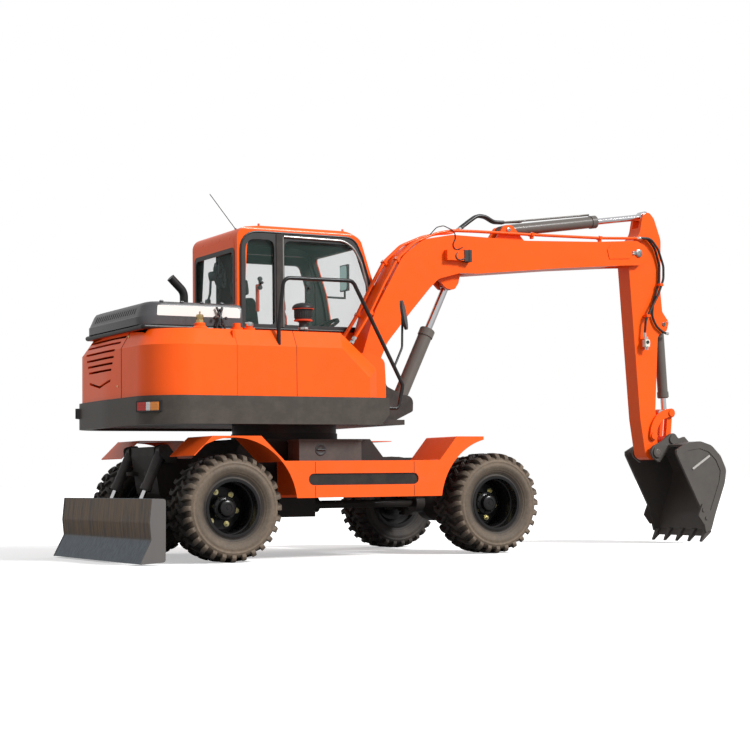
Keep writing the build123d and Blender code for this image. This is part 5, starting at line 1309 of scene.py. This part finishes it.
class EXCAVATOR_OT_hoses(bpy.types.Operator):
    """Make the hoses that run across the joints, and the arm ram's pipes"""

    bl_idname = "excavator.hoses"
    bl_label = "Hoses"

    def execute(self, context):
        # Each run: its name, its two bodies, its sides, its radius, its route in X and Z, and where the bend
        # starts and ends.
        runs = (
            ("hose_to_arm_ram", "boom", "arm_barrel", LEFT_PIPES, 0.0155,
             [(1.372, 2.686), (1.449, 2.742), (1.543, 2.806), (1.623, 2.796), (1.703, 2.757), (1.800, 2.760)],
             (1.60, -0.065, 2.79), (1.78, -0.065, 2.76)),
            ("hose_to_arm_low", "boom", "arm", (-0.296,), 0.0105,
             [(3.095, 2.673), (3.197, 2.677), (3.279, 2.580), (3.332, 2.436), (3.329, 2.322), (3.269, 2.184),
              (3.195, 2.068), (3.125, 1.950), (3.112, 1.838)],
             (3.12, -0.296, 2.67), (3.33, -0.296, 2.36)),
            ("hose_to_arm_high", "boom", "arm", (-0.270,), 0.0105,
             [(3.095, 2.673), (3.180, 2.680), (3.262, 2.590), (3.308, 2.436), (3.300, 2.300), (3.232, 2.120),
              (3.214, 1.990), (3.261, 1.902), (3.330, 1.856), (3.366, 1.846)],
             (3.12, -0.270, 2.67), (3.31, -0.270, 2.36)),
            ("hose_to_boom", "upper", "boom", (*RIGHT_PIPES, *LEFT_PIPES), 0.0120,
             [(0.222, 1.686), (0.170, 1.600), (0.120, 1.500), (0.100, 1.380), (0.140, 1.290)],
             (0.125, -0.17, 1.47), (0.200, -0.17, 1.65)),
        )
        for name, first, second, sides, radius, route, start, end in runs:
            shape = Shape()
            for y in sides:
                shape.pipe([(x, y, z) for x, z in route], 0.12, radius, 14)
            hose = shape.piece(name, "hose_rubber", 40)
            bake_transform(hose)

        ram = Shape()
        for y in LEFT_PIPES:
            ram.pipe([(1.797, y, 2.760), (1.900, y, 2.770), (1.980, y, 2.7765)], 0.2, 0.0090, 12)
        ram.pipe([(1.797, -0.078, 2.7600), (1.940, -0.100, 2.776), (2.560, -0.130, 2.858),
                  (2.640, -0.150, 2.868)], 0.1, 0.0085, 12)
        ram.done("arm_ram_pipes", "arm_barrel", "ram_paint", slot="black_paint")
        return {"FINISHED"}


class EXCAVATOR_OT_arm(bpy.types.Operator):
    """Make the arm's valve, fittings and pin heads, and the bucket's teeth and ribs"""

    bl_idname = "excavator.arm"
    bl_label = "Arm Fittings"

    def execute(self, context):
        valve = Shape()
        valve.block((3.094, -0.326, 1.714), (3.146, -0.278, 1.779), 0.005)
        valve.done("arm_valve", "arm", "cream_paint", slot="steel")
        ends = Shape()
        for x in (3.112, 3.132):
            ends.rod((x, -0.300, 1.778), (x, -0.300, 1.806), 0.0095, 6, 0.001)
            ends.rod((x, -0.300, 1.715), (x, -0.300, 1.690), 0.0095, 6, 0.001)
        ends.rod((3.112, -0.296, 1.804), (3.112, -0.296, 1.842), 0.0125, 6, 0.002)
        ends.rod((3.146, -0.302, 1.748), (3.160, -0.302, 1.748), 0.0090, 6, 0.001)
        ends.rod((3.360, -0.270, 1.847), (3.392, -0.270, 1.842), 0.0130, 6, 0.002)
        ends.done("arm_valve_fittings", "arm", "fitting_steel", slot="steel")
        port = Shape()
        port.lathe([(0, 0), (0.016, 0), (0.016, 0.003), (0.011, 0.003), (0.011, 0.001), (0, 0.001)],
                   (3.118, -0.326, 1.756), (0, -1, 0), 28)
        port.done("arm_valve_port", "arm", "black_plastic", slot="black_plastic")
        bracket = Shape()
        bracket.block((3.098, -0.282, 1.704), (3.142, -0.249, 1.790), 0.003)
        for x, z in ((3.300, 2.270), (3.150, 1.990)):
            bracket.block((x - 0.020, -0.310, z - 0.012), (x + 0.020, -0.249, z + 0.012), 0.003)
        bracket.done("arm_brackets", "arm", "orange_paint", slot="body_paint")

        pins = Shape()
        for (x, z), y, radius in (((3.358, 1.927), -0.2535, 0.019), ((3.208, 0.798), -0.3245, 0.0262),
                                  ((3.208, 0.798), -0.0155, 0.0262)):
            way = 1 if y > -0.1 else -1
            pins.lathe([(0, 0), (radius, 0), (radius, 0.0020), (radius - 0.003, 0.0035),
                        (radius * 0.5, 0.0035), (radius * 0.45, 0.0015), (0, 0.0015)],
                       (x, y, z), (0, way, 0), 36)
        pins.done("arm_pin_heads", "arm", "ram_paint", slot="steel")
        bolts = Shape()
        for x, z in ((3.395, 1.905), (3.392, 1.950)):
            bolts.rod((x, -0.2495, z), (x, -0.2560, z), 0.0060, 6)
        bolts.done("arm_bolts", "arm", "fitting_steel", slot="steel")

        gland = Shape()
        away = (Vector((3.405, 0, 1.142)) - Vector((3.358, 0, 1.927))).normalized()
        at = Vector((3.358, BOOM_Y, 1.927)) + 0.646 * away
        gland.lathe([(0.027, 0), (0.0405, 0), (0.0405, 0.006), (0.027, 0.006)], at, away, 40)
        gland.done("bucket_ram_seal", "bucket_barrel", "red_plastic", slot="body_paint")

        tooth = Shape()
        side = [(3.612, 0.100), (3.516, 0.012), (3.506, 0.020), (3.562, 0.122), (3.600, 0.130)]
        points = []
        for way in (-1, 1):
            for a, b in side:
                along = (a - 3.511) * 0.66 + (b - 0.016) * 0.75
                points.append((a, way * (0.0150 + 0.115 * along), b))
        faces = [(0, 1, 2, 3, 4), (9, 8, 7, 6, 5)]
        faces += [(i, (i + 1) % 5, (i + 1) % 5 + 5, i + 5) for i in range(5)]
        tooth.add(points, faces, 0.003)
        tooth.rod((3.590, -0.0320, 0.1030), (3.590, 0.0320, 0.1030), 0.0085, 14, 0.002)
        teeth = Shape()
        teeth.bm.from_mesh(copies("row", tooth, "bucket_paint", Count=5, Start=(0, -0.502, 0),
                                  Step=(0, 0.166, 0)))
        teeth.done("bucket_teeth_dressed", "bucket", "bucket_paint", ["bucket_teeth"], "bucket_paint")

        rib = Shape()
        outline = [(3.406, 0.655), (3.418, 0.640), (3.608, 0.754), (3.596, 0.769)]
        for level in (-0.5415, 0.2000):
            rib.prism(outline, "y", level, level + 0.0015)
        rib.done("bucket_ribs", "bucket", "weld_pale", slot="bucket_paint")
        return {"FINISHED"}


class EXCAVATOR_OT_chassis(bpy.types.Operator):
    """Make the black sheets behind the fenders' slots, which paint the shade inside the steps, the fenders'
    seams and the tool box's handle
    """

    bl_idname = "excavator.chassis"
    bl_label = "Chassis Fittings"

    def execute(self, context):
        slot_shade_sheets, seams = Shape(), Shape()
        for sign in (1, -1):
            low, high = sorted((sign * 0.9400, sign * 0.9480))
            # Painted shade: a black sheet behind each fender's slot stands in for the shade inside the step.
            slot_shade_sheets.sheet([plate(-0.600, 0.480, 0.535, 0.650, 0.02)], "y", low, high)
            for x in (-0.467, 0.374):
                for low_z, high_z in ((0.462, 0.544), (0.640, 0.722)):
                    seams.pipe([(x, sign * 0.9592, low_z), (x, sign * 0.9592, high_z)], 0.01, 0.0020, 8)
        slot_shade_sheets.done("fender_slot_backs", "chassis", "black_paint", slot="black_paint")
        seams.done("fender_seams", "chassis", "seam_dark", slot="body_paint")
        box = Shape()
        box.lathe([(0.020, 0), (0.046, 0), (0.046, 0.004), (0.038, 0.006), (0.030, 0.003), (0.020, 0.003)],
                  (-0.290, -0.6995, 0.815), (0, -1, 0), 40)
        box.rod((-0.325, -0.707, 0.815), (-0.255, -0.707, 0.815), 0.006, 12, 0.001)
        box.done("tool_box_handle", "chassis", "black_plastic", slot="black_plastic")
        return {"FINISHED"}


SUN_STRENGTH = 3.8
SUN_FROM = (0.42, -0.78, 0.62)
CAMERA_LENS = 82.662
CAMERA_PLACE = (-6.22684, -12.28625, 0.58687)
CAMERA_RIGHT = (0.8751952, -0.4836390, -0.0112546)
CAMERA_UP = (-0.0194431, -0.0584110, 0.9981033)
CAMERA_AHEAD = (0.4833791, 0.8733164, 0.0605245)


class EXCAVATOR_OT_stage(bpy.types.Operator):
    """Make the floor, the light and the camera"""

    bl_idname = "excavator.stage"
    bl_label = "Stage"

    def execute(self, context):
        scene = context.scene
        shape = bmesh.new()
        bmesh.ops.create_grid(shape, x_segments=1, y_segments=1, size=200.0)
        mesh = bpy.data.meshes.new("floor")
        shape.to_mesh(mesh)
        shape.free()
        floor = bpy.data.objects.new("floor", mesh)
        mesh.materials.append(finish_of("floor_white"))
        scene.collection.objects.link(floor)

        world = bpy.data.worlds.new("studio")
        scene.world = world
        world.use_nodes = True
        nodes, links = world.node_tree.nodes, world.node_tree.links
        rays = nodes.new("ShaderNodeLightPath")
        seen = nodes.new("ShaderNodeMath")
        seen.operation = "MAXIMUM"
        links.new(rays.outputs["Is Camera Ray"], seen.inputs[0])
        links.new(rays.outputs["Is Transmission Ray"], seen.inputs[1])
        strength = nodes.new("ShaderNodeMapRange")
        strength.inputs["To Min"].default_value = 0.60
        strength.inputs["To Max"].default_value = 1.0
        links.new(seen.outputs[0], strength.inputs["Value"])
        links.new(strength.outputs[0], nodes["Background"].inputs["Strength"])
        nodes["Background"].inputs["Color"].default_value = (1.0, 1.0, 1.0, 1.0)

        lamp = bpy.data.lights.new("key_light", "SUN")
        lamp.energy = SUN_STRENGTH
        lamp.angle = radians(14)
        key = bpy.data.objects.new("key_light", lamp)
        key.rotation_euler = Vector(SUN_FROM).to_track_quat("Z", "Y").to_euler()
        scene.collection.objects.link(key)

        lens_data = bpy.data.cameras.new("camera")
        lens_data.sensor_width = 36.0
        lens_data.lens = CAMERA_LENS
        lens_data.clip_end = 500.0
        camera = bpy.data.objects.new("camera", lens_data)
        x, y, z = CAMERA_PLACE
        places = (x + SHIFT, y, z)
        camera.matrix_world = Matrix((
            *((right, up, -ahead, place) for right, up, ahead, place in zip(
                CAMERA_RIGHT, CAMERA_UP, CAMERA_AHEAD, places)),
            (0, 0, 0, 1)))
        scene.collection.objects.link(camera)
        scene.camera = camera
        scene.view_settings.view_transform = "Standard"
        return {"FINISHED"}


class EXCAVATOR_PT_panel(bpy.types.Panel):
    """Lists the steps that dress the excavator"""

    bl_idname = "EXCAVATOR_PT_panel"
    bl_label = "Excavator"
    bl_space_type = "VIEW_3D"
    bl_region_type = "UI"
    bl_category = "Excavator"

    def draw(self, context):
        layout = self.layout
        for name, group in SETTINGS.items():
            for value in group.__annotations__:
                layout.prop(getattr(context.scene, name), value)
        for step in STEPS:
            layout.operator(step.bl_idname)


SETTINGS = {
    "excavator_paint": PaintSettings,
    "excavator_wheels": WheelSettings,
    "excavator_hood": HoodSettings,
}
STEPS = (EXCAVATOR_OT_finishes, EXCAVATOR_OT_tyres, EXCAVATOR_OT_wheel_fittings, EXCAVATOR_OT_hood,
         EXCAVATOR_OT_body, EXCAVATOR_OT_cab, EXCAVATOR_OT_boom, EXCAVATOR_OT_hoses, EXCAVATOR_OT_arm,
         EXCAVATOR_OT_chassis, EXCAVATOR_OT_stage)


def register():
    """Registers the settings, the operators and the panel."""
    for name, group in SETTINGS.items():
        bpy.utils.register_class(group)
        setattr(bpy.types.Scene, name, PointerProperty(type=group))
    for step in (*STEPS, EXCAVATOR_PT_panel):
        bpy.utils.register_class(step)


def unregister():
    """Removes what register added."""
    for step in (EXCAVATOR_PT_panel, *reversed(STEPS)):
        bpy.utils.unregister_class(step)
    for name, group in SETTINGS.items():
        delattr(bpy.types.Scene, name)
        bpy.utils.unregister_class(group)


def main():
    """Dresses the whole machine."""
    register()
    for step in STEPS:
        group, name = step.bl_idname.split(".")
        getattr(getattr(bpy.ops, group), name)()


if __name__ == "__main__":
    main()
